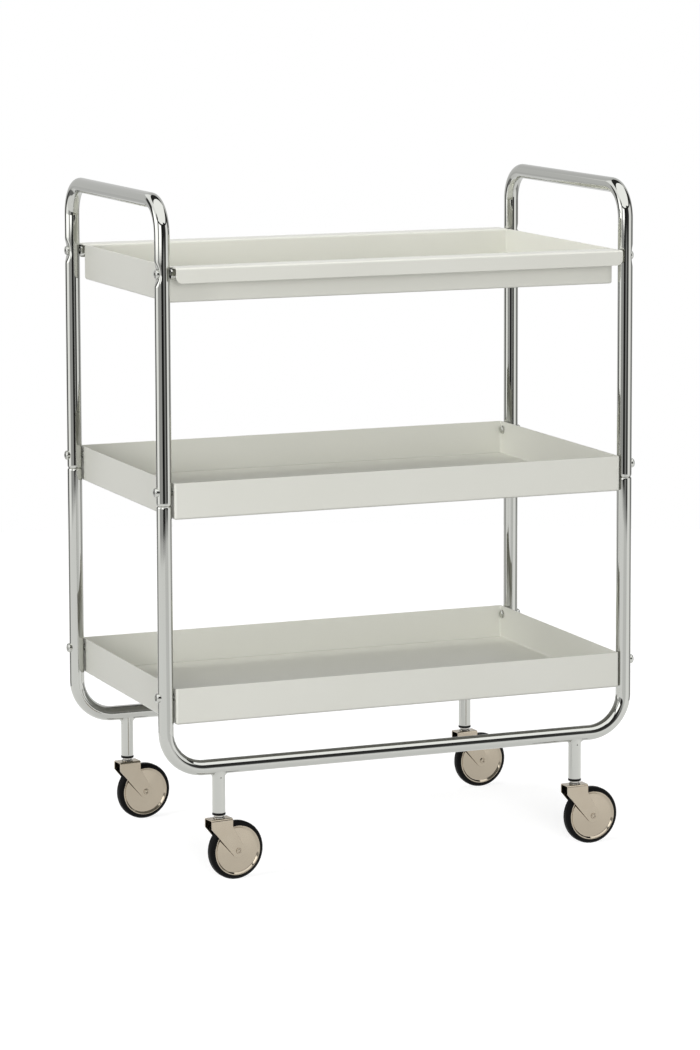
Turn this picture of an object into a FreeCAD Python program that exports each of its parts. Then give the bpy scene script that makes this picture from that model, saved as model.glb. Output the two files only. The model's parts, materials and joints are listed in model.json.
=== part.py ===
"""Three-tier rolling shelf: bent tube frame, bolted shelves, a lift-off serving tray and swivel casters.

Millimetres, +Z up, +X to the right along the long side, -Y to the front. The origin is on the floor under
the middle of the frame.
"""
import FreeCAD
import Part
import math
import os
import re
import Sketcher
from FreeCAD import Placement, Rotation, Vector

SIZES = {
    # Bent tube frame
    "post_spacing_x": ("620", "between post centres, left to right"),
    "post_spacing_y": ("349.4", "between post centres, front to back"),
    "tube_od": ("19", "outside diameter of the frame tube"),
    "tube_wall": ("1.5", "wall of the frame tube"),
    "handle_height": ("841.5", "floor to the centre of the handle tube"),
    "handle_bend": ("40", "bend radius of the handle, on the tube's centre line"),
    "rail_height": ("144", "floor to the centre of the rail tube"),
    "rail_bend": ("48", "bend radius of the rail, on the tube's centre line"),
    "joint_height": ("472", "floor to the joint between hoop and lower frame"),
    "joint_gap": ("0.4", "open groove at that joint"),
    "spigot_length": ("80", "sleeve inside the joint"),
    "spigot_wall": ("2", "wall of that sleeve"),
    "seat_clearance": ("0.05", "around pieces that are fitted for good"),
    # Folded sheet shelves
    "sheet": ("1.5", "thickness of the shelf and tray sheet"),
    "sheet_bend": ("3", "outer radius of a folded edge"),
    "shelf_overhang": ("8.8", "post centre to the front of a bolted shelf"),
    "shelf_wall": ("44.8", "height of a bolted shelf"),
    "bottom_rise": ("9.6", "end of the rail's bends up to the bottom shelf"),
    # Bolts, washers and nuts
    "bolt_drop": ("11", "rim of a shelf down to its bolts"),
    "joint_bolt": ("16.8", "post joint up to the middle shelf's bolts"),
    "bolt_od": ("6", "shank of a bolt"),
    "bolt_play": ("0.2", "clearance of a bolt in its holes, on the radius"),
    "bolt_head_od": ("12", "dome head of a bolt"),
    "bolt_head": ("3.4", "height of a dome head over its seat"),
    "dome_share": ("0.85", "share of a head's height that is domed"),
    "washer_od": ("10", "washer between post and shelf"),
    "washer": ("0.75", "thickness of a washer"),
    "nut_od": ("11.5", "domed nut inside a shelf"),
    "nut": ("4", "height of a domed nut"),
    "nut_cap": ("1.4", "closed end of a nut"),
    # Serving tray and its pegs
    "tray_drop": ("78.7", "centre of the handle down to the tray's rim"),
    "tray_wall": ("44.8", "height of the tray"),
    "tray_gap": ("2.4", "tray to post at each end"),
    "hook_inner": ("12.2", "axis of a peg to the tray's basin"),
    "hook_outer": ("17.9", "axis of a peg to the outside of the tray's lip"),
    "lip_drop": ("19", "height of a lip"),
    "lip_end": ("8", "rounded ends of a lip"),
    "peg_flats": ("13", "cap nut across its flats"),
    "peg_hex": ("5.5", "length of the cap nut's hexagon"),
    "peg_step": ("0.7", "flat of the hexagon down to its dome"),
    "peg_dome": ("5", "length of that dome"),
    "dimple": ("4", "depth of the dimple pressed into a post"),
    "dimple_height": ("27", "height of that dimple"),
    # Caster stubs
    "stub_inset": ("20", "end of the rail's bend to a caster's stem"),
    "stub_step": ("1.5", "side of the rail to the side of a stub tube"),
    "stub_wall": ("1.5", "wall of a stub tube"),
    "weld": ("4.5", "radius of the weld between stub and rail"),
    "vent_od": ("2.2", "plating vent in a stub tube"),
    "vent_drop": ("13", "centre of the rail down to the vent"),
    # Caster stems
    "flange_lip": ("0.3", "stem socket's flange past the stub tube"),
    "flange": ("3", "thickness of that flange"),
    "socket_room": ("8.3", "top of the stem socket to the rail"),
    "stem_od": ("9", "stem of a caster"),
    "stem_room": ("4", "top of the stem to the top of its socket"),
    "stem_fit": ("0.05", "running clearance of the stem, on the radius"),
    "neck": ("3.8", "height of the neck between socket and fork"),
    "neck_step": ("1.75", "side of the stem to the side of its neck"),
    "swivel_gap": ("0.4", "neck to socket"),
    "rivet_lip": ("0.5", "stem's rivet head past the stem, under the fork"),
    "rivet": ("1.5", "height of that rivet head"),
    "ring_drop": ("6", "top of the stem down to the grip ring's groove"),
    "ring": ("2", "height of the grip ring"),
    "ring_depth": ("1", "depth of the grip ring's groove in the stem"),
    "ring_proud": ("0.5", "grip ring past the stem"),
    "ring_play": ("0.15", "clearance around the grip ring"),
    "ring_turn": ("320", "arc of the grip ring, in degrees"),
    # Caster forks
    "fork_gap": ("4.1", "top of the wheel to the fork's plate"),
    "fork_length": ("29.5", "fork's top plate along the wheel"),
    "cheek_gap": ("1.2", "tyre to cheek at each side"),
    "fork_sheet": ("1.5", "thickness of the fork"),
    "fork_bend": ("2.5", "outer radius of the fork's folds"),
    "fork_skirt": ("11.5", "straight part of a cheek's edge below the top"),
    "fork_end": ("8.75", "radius of a cheek around the axle"),
    # Caster wheels
    "wheel_od": ("73.4", "wheel over its tyre"),
    "trail": ("22.5", "stem to axle, level"),
    "tyre_width": ("14", "tyre at its widest"),
    "tyre_side": ("5.4", "edge of a cover disc to the tread"),
    "tyre_round": ("5", "radius of the tyre's shoulders"),
    "tyre_land": ("0.1", "straight side of the tyre under its shoulders"),
    "tyre_root": ("4.3", "edge of a cover disc in to the tyre's bed"),
    "cover_proud": ("0.2", "face of a cover disc past the tyre"),
    "cover_bevel": ("3.3", "width of a cover disc's bevelled rim"),
    "cover_dish": ("2", "depth of that rim"),
    "cover_sheet": ("0.6", "thickness of a cover disc"),
    "cover_play": ("0.3", "tyre to the edge of a cover disc"),
    "core_web": ("3", "web of the wheel core"),
    "core_rim": ("3", "rim of the wheel core under the tyre"),
    "core_boss": ("3", "wall of the wheel core around the bush"),
    "bush_wall": ("1.95", "wall of the hub bush"),
    "bush_play": ("0.3", "bush to cheek at each end"),
    "axle_od": ("6", "axle rivet"),
    "axle_fit": ("0.05", "running clearance of the axle, on the radius"),
    "axle_lip": ("0.8", "heads of the axle rivet past its shank"),
    "axle_head": ("1.6", "height of those heads"),
    # Angle of each caster about its stem, in degrees from +X
    "front_left_turn": ("7.5", "front left caster"),
    "front_right_turn": ("2.5", "front right caster"),
    "rear_left_turn": ("6.5", "rear left caster"),
    "rear_right_turn": ("3", "rear right caster"),
}

# Formulas of the sizes above that more than one piece uses
POST_X = "(post_spacing_x / 2)"
POST_Y = "(post_spacing_y / 2)"
TUBE_R = "(tube_od / 2)"
BORE_R = "(tube_od / 2 - tube_wall)"
BOTTOM_BASE = "(rail_height + rail_bend + bottom_rise)"
BOTTOM_BOLT = f"({BOTTOM_BASE} + shelf_wall - bolt_drop)"
MIDDLE_BOLT = "(joint_height + joint_bolt)"
MIDDLE_BASE = f"({MIDDLE_BOLT} + bolt_drop - shelf_wall)"
TRAY_RIM = "(handle_height - tray_drop)"
PEG_AXIS = f"({TRAY_RIM} - sheet - peg_flats / 2)"
SHELF_LENGTH = "(post_spacing_x - tube_od - 2 * washer)"
SHELF_DEPTH = "(post_spacing_y + 2 * shelf_overhang)"
TRAY_LENGTH = "(post_spacing_x - tube_od - 2 * tray_gap)"
TRAY_DEPTH = "(post_spacing_y - 2 * hook_inner)"
BOLT_R = "(bolt_od / 2)"
HOLE_R = "(bolt_od / 2 + bolt_play)"
DIMPLE_R = "((dimple_height^2 / 4 + dimple^2) / (2 * dimple))"
DIMPLE_X = f"({TUBE_R} - dimple + {DIMPLE_R})"
STUB_X = f"({POST_X} - rail_bend - stub_inset)"
STUB_R = "(tube_od / 2 - stub_step)"
WHEEL_R = "(wheel_od / 2)"
FORK_TOP = "(wheel_od + fork_gap + fork_sheet)"
PLATE_BASE = "(wheel_od + fork_gap)"
FORK_INSIDE = "(tyre_width / 2 + cheek_gap)"
FORK_HALF = f"({FORK_INSIDE} + fork_sheet)"
FLANGE_BASE = f"({FORK_TOP} + neck + swivel_gap)"
STUB_BASE = f"({FLANGE_BASE} + flange)"
SOCKET_TOP = "(rail_height - tube_od / 2 - socket_room)"
STEM_TOP = f"({SOCKET_TOP} - stem_room)"
STEM_R = "(stem_od / 2)"
GROOVE_TOP = f"({STEM_TOP} - ring_drop)"
GROOVE_BASE = f"({GROOVE_TOP} - ring - 2 * ring_play)"
COVER_R = f"({WHEEL_R} - tyre_side)"
COVER_FACE = "(tyre_width / 2 + cover_proud)"
COVER_EDGE = f"({COVER_FACE} - cover_dish)"
TYRE_FLANK = f"({COVER_EDGE} - cover_sheet)"
BED_R = f"({COVER_R} - tyre_root)"
BUSH_R = "(axle_od / 2 + axle_fit + bush_wall)"

SKETCH_ORIGIN = -1
START, END, CENTRE = range(1, 4)
FULL_TURN = "360"
QUARTER_TURN = math.pi / 2
TOUCH = 1e-4

doc = FreeCAD.newDocument("RollingShelf")
sheet = doc.addObject("Spreadsheet::Sheet", "Sizes")
for row, (alias, (number, meaning)) in enumerate(SIZES.items(), start=1):
    sheet.set(f"A{row}", meaning)
    sheet.set(f"B{row}", number)
    sheet.setAlias(f"B{row}", alias)
doc.recompute()

SIZE_WORD = re.compile(r"\b(" + "|".join(SIZES) + r")\b")
nodes = []


def cell(formula):
    """The formula as an expression on the sheet's cells."""
    return SIZE_WORD.sub(r"Sizes.\1", formula)


def value(formula):
    """What the formula comes to now."""
    return float(sheet.evalExpression(cell(formula)))


def bind(item, **formulas):
    """Ties properties of an object to the sheet. A dot in a property's path is written as two underscores."""
    for path, formula in formulas.items():
        item.setExpression(path.replace("__", "."), cell(formula))
    return item


def place(item, x="0", y="0", z="0"):
    """Puts an object at a point given by formulas."""
    return bind(item, Placement__Base__x=x, Placement__Base__y=y, Placement__Base__z=z)


def node(item, label):
    """Names an object as one sub-part of the finished shelf."""
    item.Label = label
    nodes.append(item)
    return item


def new_body(name):
    return doc.addObject("PartDesign::Body", name)


def new_sketch(body, plane):
    """A sketch on one of the body's own origin planes."""
    sketch = body.newObject("Sketcher::SketchObject", body.Name + "_sketch")
    support = next(item for item in body.Origin.OriginFeatures if item.Role == plane)
    sketch.AttachmentSupport = [(support, "")]
    sketch.MapMode = "FlatFace"
    return sketch


def tie(sketch, constraint, formula):
    """Adds a dimension to a sketch and binds it to a formula."""
    index = sketch.addConstraint(constraint)
    sketch.setExpression(f"Constraints[{index}]", cell(formula))


def hold(sketch, geometry, point, x, y):
    """Holds a point of the sketch at a pair of formulas."""
    for kind, formula in (("DistanceX", x), ("DistanceY", y)):
        tie(sketch, Sketcher.Constraint(kind, SKETCH_ORIGIN, START, geometry, point, value(formula)), formula)


def at(x, y):
    return Vector(value(x), value(y), 0)


def polygon(sketch, corners):
    """A closed outline of straight lines through corners that are pairs of formulas."""
    first = sketch.GeometryCount
    count = len(corners)
    for index, corner in enumerate(corners):
        following = corners[(index + 1) % count]
        sketch.addGeometry(Part.LineSegment(at(*corner), at(*following)), False)
    for index, corner in enumerate(corners):
        line = first + index
        hold(sketch, line, START, *corner)
        following = first + (index + 1) % count
        sketch.addConstraint(Sketcher.Constraint("Coincident", line, END, following, START))
    return sketch


def rectangle(sketch, x0, y0, x1, y1):
    return polygon(sketch, [(x0, y0), (x1, y0), (x1, y1), (x0, y1)])


def circle(sketch, radius, x="0", y="0"):
    shape = Part.Circle(at(x, y), Vector(0, 0, 1), value(radius))
    index = sketch.addGeometry(shape, False)
    hold(sketch, index, CENTRE, x, y)
    tie(sketch, Sketcher.Constraint("Radius", index, value(radius)), radius)
    return sketch


def pad(body, sketch, length):
    """Pads a sketch equally to both sides."""
    item = body.newObject("PartDesign::Pad", body.Name + "_pad")
    item.Profile = sketch
    item.SideType = "Symmetric"
    bind(item, Length=length)
    return item


def pocket(body, sketch, length):
    """Cuts a sketch equally to both sides."""
    item = body.newObject("PartDesign::Pocket", body.Name + "_pocket")
    item.Profile = sketch
    item.SideType = "Symmetric"
    bind(item, Length=length)
    return item


def revolve(body, sketch, axis, angle=FULL_TURN):
    """Turns a sketch about its own horizontal (H_Axis) or vertical (V_Axis) axis."""
    item = body.newObject("PartDesign::Revolution", body.Name + "_turn")
    item.Profile = sketch
    item.ReferenceAxis = (sketch, [axis])
    bind(item, Angle=angle)
    return item


def fillet(body, base, radius, test):
    """Rounds those edges of a feature that pass a test."""
    doc.recompute()
    edges = [f"Edge{index}" for index, edge in enumerate(base.Shape.Edges, start=1) if test(edge)]
    item = body.newObject("PartDesign::Fillet", body.Name + "_round")
    item.Base = (base, edges)
    bind(item, Radius=radius)
    return item


def cylinder(name, radius, length, axis, x="0", y="0", z="0"):
    """A Part cylinder that starts at a point and runs along an axis."""
    item = doc.addObject("Part::Cylinder", name)
    item.Placement = Placement(Vector(), Rotation(Vector(0, 0, 1), axis))
    bind(item, Radius=radius, Height=length)
    return place(item, x, y, z)


def cut(name, base, *tools):
    """The base less its tools."""
    item = doc.addObject("Part::Cut", name)
    item.Base = base
    item.Tool = tools[0]
    if len(tools) > 1:
        item.Tool = doc.addObject("Part::Compound", name + "_tools")
        item.Tool.Links = list(tools)
    return item


def mirror(source, name, normal):
    item = doc.addObject("Part::Mirroring", name)
    item.Source = source
    item.Normal = normal
    return item


def at_four_corners(source, label):
    """One node of four solids: the piece at the front left and its mirror images at the other corners."""
    right = mirror(source, label + "_right", Vector(1, 0, 0))
    rear = mirror(source, label + "_rear", Vector(0, 1, 0))
    rear_right = mirror(right, label + "_rear_right", Vector(0, 1, 0))
    group = doc.addObject("Part::Compound", label)
    group.Links = [source, right, rear, rear_right]
    return node(group, label)


def bent_tube(name, plane, half, foot, turn, crown, bend, radii):
    """A tube along a U: legs at plus and minus half, from foot to turn, and a run at the crown's height."""
    body = new_body(name)
    path = new_sketch(body, plane)
    low_run, high_run = f"-({half} - {bend})", f"({half} - {bend})"
    stretches = [
        ((f"-{half}", foot), (f"-{half}", turn)),
        ((low_run, crown), (high_run, crown)),
        ((half, turn), (half, foot)),
    ]
    for start, end in stretches:
        line = path.addGeometry(Part.LineSegment(at(*start), at(*end)), False)
        hold(path, line, START, *start)
        hold(path, line, END, *end)
    arched = value(crown) > value(turn)
    near, far = (END, START) if arched else (START, END)
    quarters = (1, 0) if arched else (2, 3)
    for before, (centre, quarter) in enumerate(zip((low_run, high_run), quarters)):
        bow = Part.Circle(at(centre, turn), Vector(0, 0, 1), value(bend))
        first = quarter * QUARTER_TURN
        arc = path.addGeometry(Part.ArcOfCircle(bow, first, first + QUARTER_TURN), False)
        path.addConstraint(Sketcher.Constraint("Coincident", arc, near, before, END))
        path.addConstraint(Sketcher.Constraint("Coincident", arc, far, before + 1, START))
        tie(path, Sketcher.Constraint("Radius", arc, value(bend)), bend)
    profile = new_sketch(body, "XY_Plane")
    bind(profile, AttachmentOffset__Base__z=foot)
    for radius in radii:
        if plane == "YZ_Plane":
            circle(profile, radius, y=f"-{half}")
        else:
            circle(profile, radius, x=f"-{half}")
    pipe = body.newObject("PartDesign::AdditivePipe", name + "_pipe")
    pipe.Profile = profile
    pipe.Spine = path
    return body


def handle_hoops():
    """Inverted U of tube at each end, with dimples pressed into the outer side for the peg bolts' heads."""
    foot = "(joint_height + joint_gap / 2)"
    hoop = (POST_Y, foot, "(handle_height - handle_bend)", "handle_height", "handle_bend")
    bar = bent_tube("hoop_bar", "YZ_Plane", *hoop, [TUBE_R])
    void = bent_tube("hoop_void", "YZ_Plane", *hoop, [BORE_R])
    across = Vector(0, 1, 0)
    press = "(post_spacing_y + 2 * tube_od)"
    outer = cylinder("dimple_outside", DIMPLE_R, press, across, f"-{DIMPLE_X}", f"-{press} / 2", PEG_AXIS)
    inner_radius = f"({DIMPLE_R} + tube_wall)"
    inner = cylinder("dimple_inside", inner_radius, press, across, f"-{DIMPLE_X}", f"-{press} / 2", PEG_AXIS)
    pressed_bar = cut("pressed_bar", bar, outer)
    pressed_void = cut("pressed_void", void, inner)
    holes = [
        cylinder("hoop_hole", HOLE_R, "2 * tube_od", Vector(1, 0, 0), "-tube_od", y, z)
        for y in (f"-{POST_Y}", POST_Y)
        for z in (PEG_AXIS, MIDDLE_BOLT)
    ]
    left = cut("left_handle_hoop", pressed_bar, pressed_void, *holes)
    place(left, x=f"-{POST_X}")
    node(left, "left_handle_hoop")
    node(mirror(left, "right_handle_hoop", Vector(1, 0, 0)), "right_handle_hoop")


def lower_frames():
    """U of tube at the front and at the rear: two lower posts and the rail between them."""
    foot = "(joint_height - joint_gap / 2)"
    turn = "(rail_height + rail_bend)"
    front = bent_tube("front_lower_frame", "XZ_Plane", POST_X, foot, turn, "rail_height", "rail_bend",
                      [TUBE_R, BORE_R])
    holes = circle(new_sketch(front, "YZ_Plane"), HOLE_R, y=BOTTOM_BOLT)
    pocket(front, holes, "post_spacing_x + 2 * tube_od")
    place(front, y=f"-{POST_Y}")
    node(front, "front_lower_frame")
    node(mirror(front, "rear_lower_frame", Vector(0, 1, 0)), "rear_lower_frame")


def joint_spigots():
    """Sleeve inside each post joint, crossed by the middle shelf's bolt."""
    body = new_body("spigot")
    radius = f"({BORE_R} - seat_clearance)"
    ring = circle(circle(new_sketch(body, "XY_Plane"), radius), f"({radius} - spigot_wall)")
    pad(body, ring, "spigot_length")
    hole = circle(new_sketch(body, "YZ_Plane"), HOLE_R, y=f"({MIDDLE_BOLT} - joint_height)")
    pocket(body, hole, "2 * tube_od")
    place(body, f"-{POST_X}", f"-{POST_Y}", "joint_height")
    at_four_corners(body, "post_joint_spigots")


def folded_tray(body, length, depth, wall):
    """An open box of folded sheet standing on the body's XY plane, rounded along its folds."""
    end, side = f"({length} / 2)", f"({depth} / 2)"
    plan = rectangle(new_sketch(body, "XY_Plane"), f"-{end}", f"-{side}", end, side)
    block = body.newObject("PartDesign::Pad", body.Name + "_pad")
    block.Profile = plan
    bind(block, Length=wall)
    height = value(wall)
    folds = fillet(body, block, "sheet_bend", lambda edge: edge.BoundBox.ZMin < height - TOUCH)
    doc.recompute()
    top = [
        f"Face{index}" for index, face in enumerate(folds.Shape.Faces, start=1)
        if face.BoundBox.ZMin > height - TOUCH
    ]
    shell = body.newObject("PartDesign::Thickness", body.Name + "_shell")
    shell.Base = (folds, top)
    shell.Reversed = True
    bind(shell, Value="sheet")
    return shell


def bolted_shelf(label, base):
    """A folded shelf between the posts, drilled through its end walls."""
    body = new_body(label)
    folded_tray(body, SHELF_LENGTH, SHELF_DEPTH, "shelf_wall")
    holes = new_sketch(body, "YZ_Plane")
    for y in (f"-{POST_Y}", POST_Y):
        circle(holes, HOLE_R, y, "(shelf_wall - bolt_drop)")
    pocket(body, holes, "post_spacing_x")
    place(body, z=base)
    node(body, label)


def shelf_fasteners(tier, height):
    """Dome-head bolt through a post, washer between post and shelf, domed nut inside the shelf."""
    wall_face = f"({TUBE_R} + washer)"
    nut_face = f"({wall_face} + sheet)"
    nut_end = f"({nut_face} + nut)"
    corner = (f"-{POST_X}", f"-{POST_Y}", height)

    bolt = new_body(tier + "_bolt")
    head_end = f"(-({TUBE_R} + bolt_head))"
    section = rectangle(new_sketch(bolt, "XZ_Plane"), head_end, "0", "0", "bolt_head_od / 2")
    head = revolve(bolt, section, "H_Axis")
    far_end = value(head_end)
    fillet(bolt, head, "dome_share * bolt_head", lambda edge: edge.BoundBox.XMax < far_end + TOUCH)
    seat = circle(new_sketch(bolt, "XY_Plane"), f"({TUBE_R} + seat_clearance)")
    pocket(bolt, seat, "2 * bolt_head_od")
    shank = rectangle(new_sketch(bolt, "XZ_Plane"), f"(-({TUBE_R} + bolt_head / 2))", "0",
                      f"({nut_end} - nut_cap - seat_clearance)", BOLT_R)
    revolve(bolt, shank, "H_Axis")
    at_four_corners(place(bolt, *corner), tier + "_shelf_bolts")

    washer = new_body(tier + "_washer")
    section = rectangle(new_sketch(washer, "XZ_Plane"), TUBE_R, HOLE_R, wall_face, "washer_od / 2")
    revolve(washer, section, "H_Axis")
    at_four_corners(place(washer, *corner), tier + "_shelf_washers")

    nut = new_body(tier + "_nut")
    bore = "(bolt_od / 2 + seat_clearance)"
    section = polygon(new_sketch(nut, "XZ_Plane"), [
        (nut_face, bore), (nut_face, "nut_od / 2"), (nut_end, "nut_od / 2"), (nut_end, "0"),
        (f"({nut_end} - nut_cap)", "0"), (f"({nut_end} - nut_cap)", bore),
    ])
    turned = revolve(nut, section, "H_Axis")
    dome_end = value(nut_end)
    fillet(nut, turned, "dome_share * nut", lambda edge: edge.BoundBox.XMin > dome_end - TOUCH)
    at_four_corners(place(nut, *corner), tier + "_shelf_nuts")


def tray_pegs():
    """Bolt with its head in a post's dimple, and the cap nut inside the post that carries the tray."""
    corner = (f"-{POST_X}", f"-{POST_Y}", PEG_AXIS)
    seat = f"({TUBE_R} - dimple + {DIMPLE_R} - sqrt({DIMPLE_R}^2 - bolt_head_od^2 / 4) + seat_clearance)"
    nut_end = f"({TUBE_R} + peg_hex + peg_dome)"

    bolt = new_body("peg_bolt")
    head_end = f"(-({seat} + bolt_head))"
    section = rectangle(new_sketch(bolt, "XZ_Plane"), head_end, "0", f"(-{seat})", "bolt_head_od / 2")
    head = revolve(bolt, section, "H_Axis")
    far_end = value(head_end)
    fillet(bolt, head, "dome_share * bolt_head", lambda edge: edge.BoundBox.XMax < far_end + TOUCH)
    shank = rectangle(new_sketch(bolt, "XZ_Plane"), f"(-({seat} + bolt_head / 2))", "0",
                      f"({nut_end} - nut_cap - seat_clearance)", BOLT_R)
    revolve(bolt, shank, "H_Axis")
    at_four_corners(place(bolt, *corner), "tray_peg_bolts")

    nut = new_body("peg_nut")
    flats = "(peg_flats / 2)"
    half_side = f"({flats} / sqrt(3))"
    point = f"(2 * {half_side})"
    hexagon = polygon(new_sketch(nut, "YZ_Plane"), [
        (half_side, flats), (f"-{half_side}", flats), (f"-{point}", "0"),
        (f"-{half_side}", f"-{flats}"), (half_side, f"-{flats}"), (point, "0"),
    ])
    bind(hexagon, AttachmentOffset__Base__z=TUBE_R)
    prism = nut.newObject("PartDesign::Pad", "peg_nut_pad")
    prism.Profile = hexagon
    bind(prism, Length="peg_hex")
    dome = rectangle(new_sketch(nut, "XZ_Plane"), TUBE_R, "0", nut_end, "(peg_flats / 2 - peg_step)")
    turned = revolve(nut, dome, "H_Axis")
    dome_end = value(nut_end)
    fillet(nut, turned, "dome_share * peg_dome", lambda edge: edge.BoundBox.XMin > dome_end - TOUCH)
    bore = rectangle(new_sketch(nut, "XZ_Plane"), "0", "0", f"({nut_end} - nut_cap)",
                     "(bolt_od / 2 + seat_clearance)")
    groove = nut.newObject("PartDesign::Groove", "peg_nut_bore")
    groove.Profile = bore
    groove.ReferenceAxis = (bore, ["H_Axis"])
    bind(groove, Angle=FULL_TURN)
    at_four_corners(place(nut, *corner), "tray_peg_cap_nuts")


def serving_tray():
    """Basin with a hooked flange along each long side, which hangs over the pegs."""
    body = new_body("serving_tray")
    folded_tray(body, TRAY_LENGTH, TRAY_DEPTH, "tray_wall")
    lip, under, foot = f"({POST_Y} + hook_outer)", "(tray_wall - sheet)", "(tray_wall - lip_drop)"
    for side in ("-", ""):
        root, outside, inside = f"{side}({TRAY_DEPTH} / 2 - sheet)", f"{side}{lip}", f"{side}({lip} - sheet)"
        hook = polygon(new_sketch(body, "YZ_Plane"), [
            (root, "tray_wall"), (outside, "tray_wall"), (outside, foot),
            (inside, foot), (inside, under), (root, under),
        ])
        flange = pad(body, hook, TRAY_LENGTH)
    half_length, rim, reach = value(TRAY_LENGTH) / 2, value("tray_wall"), value(lip)
    lip_foot = value("tray_wall - lip_drop")

    def folded_edge(edge):
        box = edge.BoundBox
        along = box.XLength > half_length and min(abs(box.YMin), abs(box.YMax)) > reach - TOUCH
        return along and box.ZMin > rim - TOUCH

    def lip_corner(edge):
        box = edge.BoundBox
        across = box.XLength < TOUCH and box.ZLength < TOUCH and abs(box.ZMin - lip_foot) < TOUCH
        return across and abs(abs(box.XMin) - half_length) < TOUCH

    folded = fillet(body, flange, "sheet_bend", folded_edge)
    fillet(body, folded, "lip_end", lip_corner)
    place(body, z=f"({TRAY_RIM} - tray_wall)")
    node(body, "serving_tray")


def caster_stubs():
    """Stub tube under the rail at each corner with its weld and its plating vent."""
    body = new_body("stub_tube")
    run = f"(4 * {STUB_R} + 4 * weld)"
    pad(body, circle(new_sketch(body, "YZ_Plane"), TUBE_R, y="rail_height"), run)
    foot = circle(new_sketch(body, "XY_Plane"), STUB_R)
    bind(foot, AttachmentOffset__Base__z=STUB_BASE)
    leg = body.newObject("PartDesign::Pad", "stub_leg")
    leg.Profile = foot
    bind(leg, Length=f"(rail_height - {STUB_BASE})")
    fillet(body, leg, "weld", lambda edge: not isinstance(edge.Curve, (Part.Line, Part.Circle)))
    rail = circle(new_sketch(body, "YZ_Plane"), f"({TUBE_R} + seat_clearance)", y="rail_height")
    pocket(body, rail, f"(2 * {run})")
    bore = circle(new_sketch(body, "XY_Plane"), f"({STUB_R} - stub_wall)")
    pocket(body, bore, "(2 * rail_height)")
    vent = body.newObject("PartDesign::Pocket", "stub_vent")
    vent.Profile = circle(new_sketch(body, "XZ_Plane"), "vent_od / 2", y="(rail_height - vent_drop)")
    vent.Reversed = True
    bind(vent, Length="tube_od")
    at_four_corners(place(body, f"-{STUB_X}", f"-{POST_Y}"), "caster_stub_tubes")


def turned_piece(label, plane, outline, axis, where, angle=FULL_TURN):
    """A body of revolution set at a corner's caster."""
    body = new_body(label)
    revolve(body, polygon(new_sketch(body, plane), outline), axis, angle)
    where(body)
    return node(body, label)


def caster(corner, side_x, side_y):
    """Socket, stem, grip ring, fork, axle and wheel of one caster."""
    turn = f"{corner}_turn"
    stem_x, stem_y = f"({side_x}{STUB_X})", f"({side_y}{POST_Y})"

    def on_stem(body):
        place(body, stem_x, stem_y)
        bind(body, Placement__Rotation__Angle=turn)

    def on_axle(body):
        place(body, f"({stem_x} + trail * cos({turn}))", f"({stem_y} + trail * sin({turn}))", WHEEL_R)
        bind(body, Placement__Rotation__Angle=turn)

    def under_stub(body):
        place(body, stem_x, stem_y)

    bore = f"({STEM_R} + stem_fit)"
    sleeve, flange = f"({STUB_R} - stub_wall - seat_clearance)", f"({STUB_R} + flange_lip)"
    recess = f"({STEM_R} + ring_proud + ring_play)"
    turned_piece(corner + "_stem_socket", "XZ_Plane", [
        (bore, FLANGE_BASE), (flange, FLANGE_BASE), (flange, STUB_BASE),
        (sleeve, STUB_BASE), (sleeve, SOCKET_TOP), (bore, SOCKET_TOP), (bore, GROOVE_TOP),
        (recess, GROOVE_TOP), (recess, GROOVE_BASE), (bore, GROOVE_BASE),
    ], "V_Axis", under_stub)

    neck_top = f"({FLANGE_BASE} - swivel_gap)"
    waist = f"({STEM_R} - ring_depth)"
    rivet_base = f"({PLATE_BASE} - rivet)"
    neck, rivet = f"({STEM_R} + neck_step)", f"({STEM_R} + rivet_lip)"
    turned_piece(corner + "_stem", "XZ_Plane", [
        ("0", rivet_base), (rivet, rivet_base), (rivet, PLATE_BASE), (STEM_R, PLATE_BASE),
        (STEM_R, FORK_TOP), (neck, FORK_TOP), (neck, neck_top), (STEM_R, neck_top),
        (STEM_R, GROOVE_BASE), (waist, GROOVE_BASE), (waist, GROOVE_TOP), (STEM_R, GROOVE_TOP),
        (STEM_R, STEM_TOP), ("0", STEM_TOP),
    ], "V_Axis", on_stem)

    ring_in, ring_out = f"({waist} + seat_clearance)", f"({STEM_R} + ring_proud)"
    ring_base, ring_top = f"({GROOVE_BASE} + ring_play)", f"({GROOVE_TOP} - ring_play)"
    turned_piece(corner + "_grip_ring", "XZ_Plane", [
        (ring_in, ring_base), (ring_out, ring_base), (ring_out, ring_top), (ring_in, ring_top),
    ], "V_Axis", on_stem, "ring_turn")

    caster_fork(corner + "_fork", on_stem)

    axle = new_body(corner + "_axle")
    near, far = FORK_HALF, f"({FORK_HALF} + axle_head)"
    shank, head = "(axle_od / 2)", "(axle_od / 2 + axle_lip)"
    turned = revolve(axle, polygon(new_sketch(axle, "XY_Plane"), [
        ("0", f"-{far}"), (head, f"-{far}"), (head, f"-{near}"), (shank, f"-{near}"),
        (shank, near), (head, near), (head, far), ("0", far),
    ]), "V_Axis")
    end = value(far)
    fillet(axle, turned, "dome_share * axle_head",
           lambda edge: edge.BoundBox.YLength < TOUCH and abs(edge.BoundBox.YMin) > end - TOUCH)
    on_axle(axle)
    node(axle, corner + "_axle")

    caster_wheel(corner, on_axle)


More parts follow.
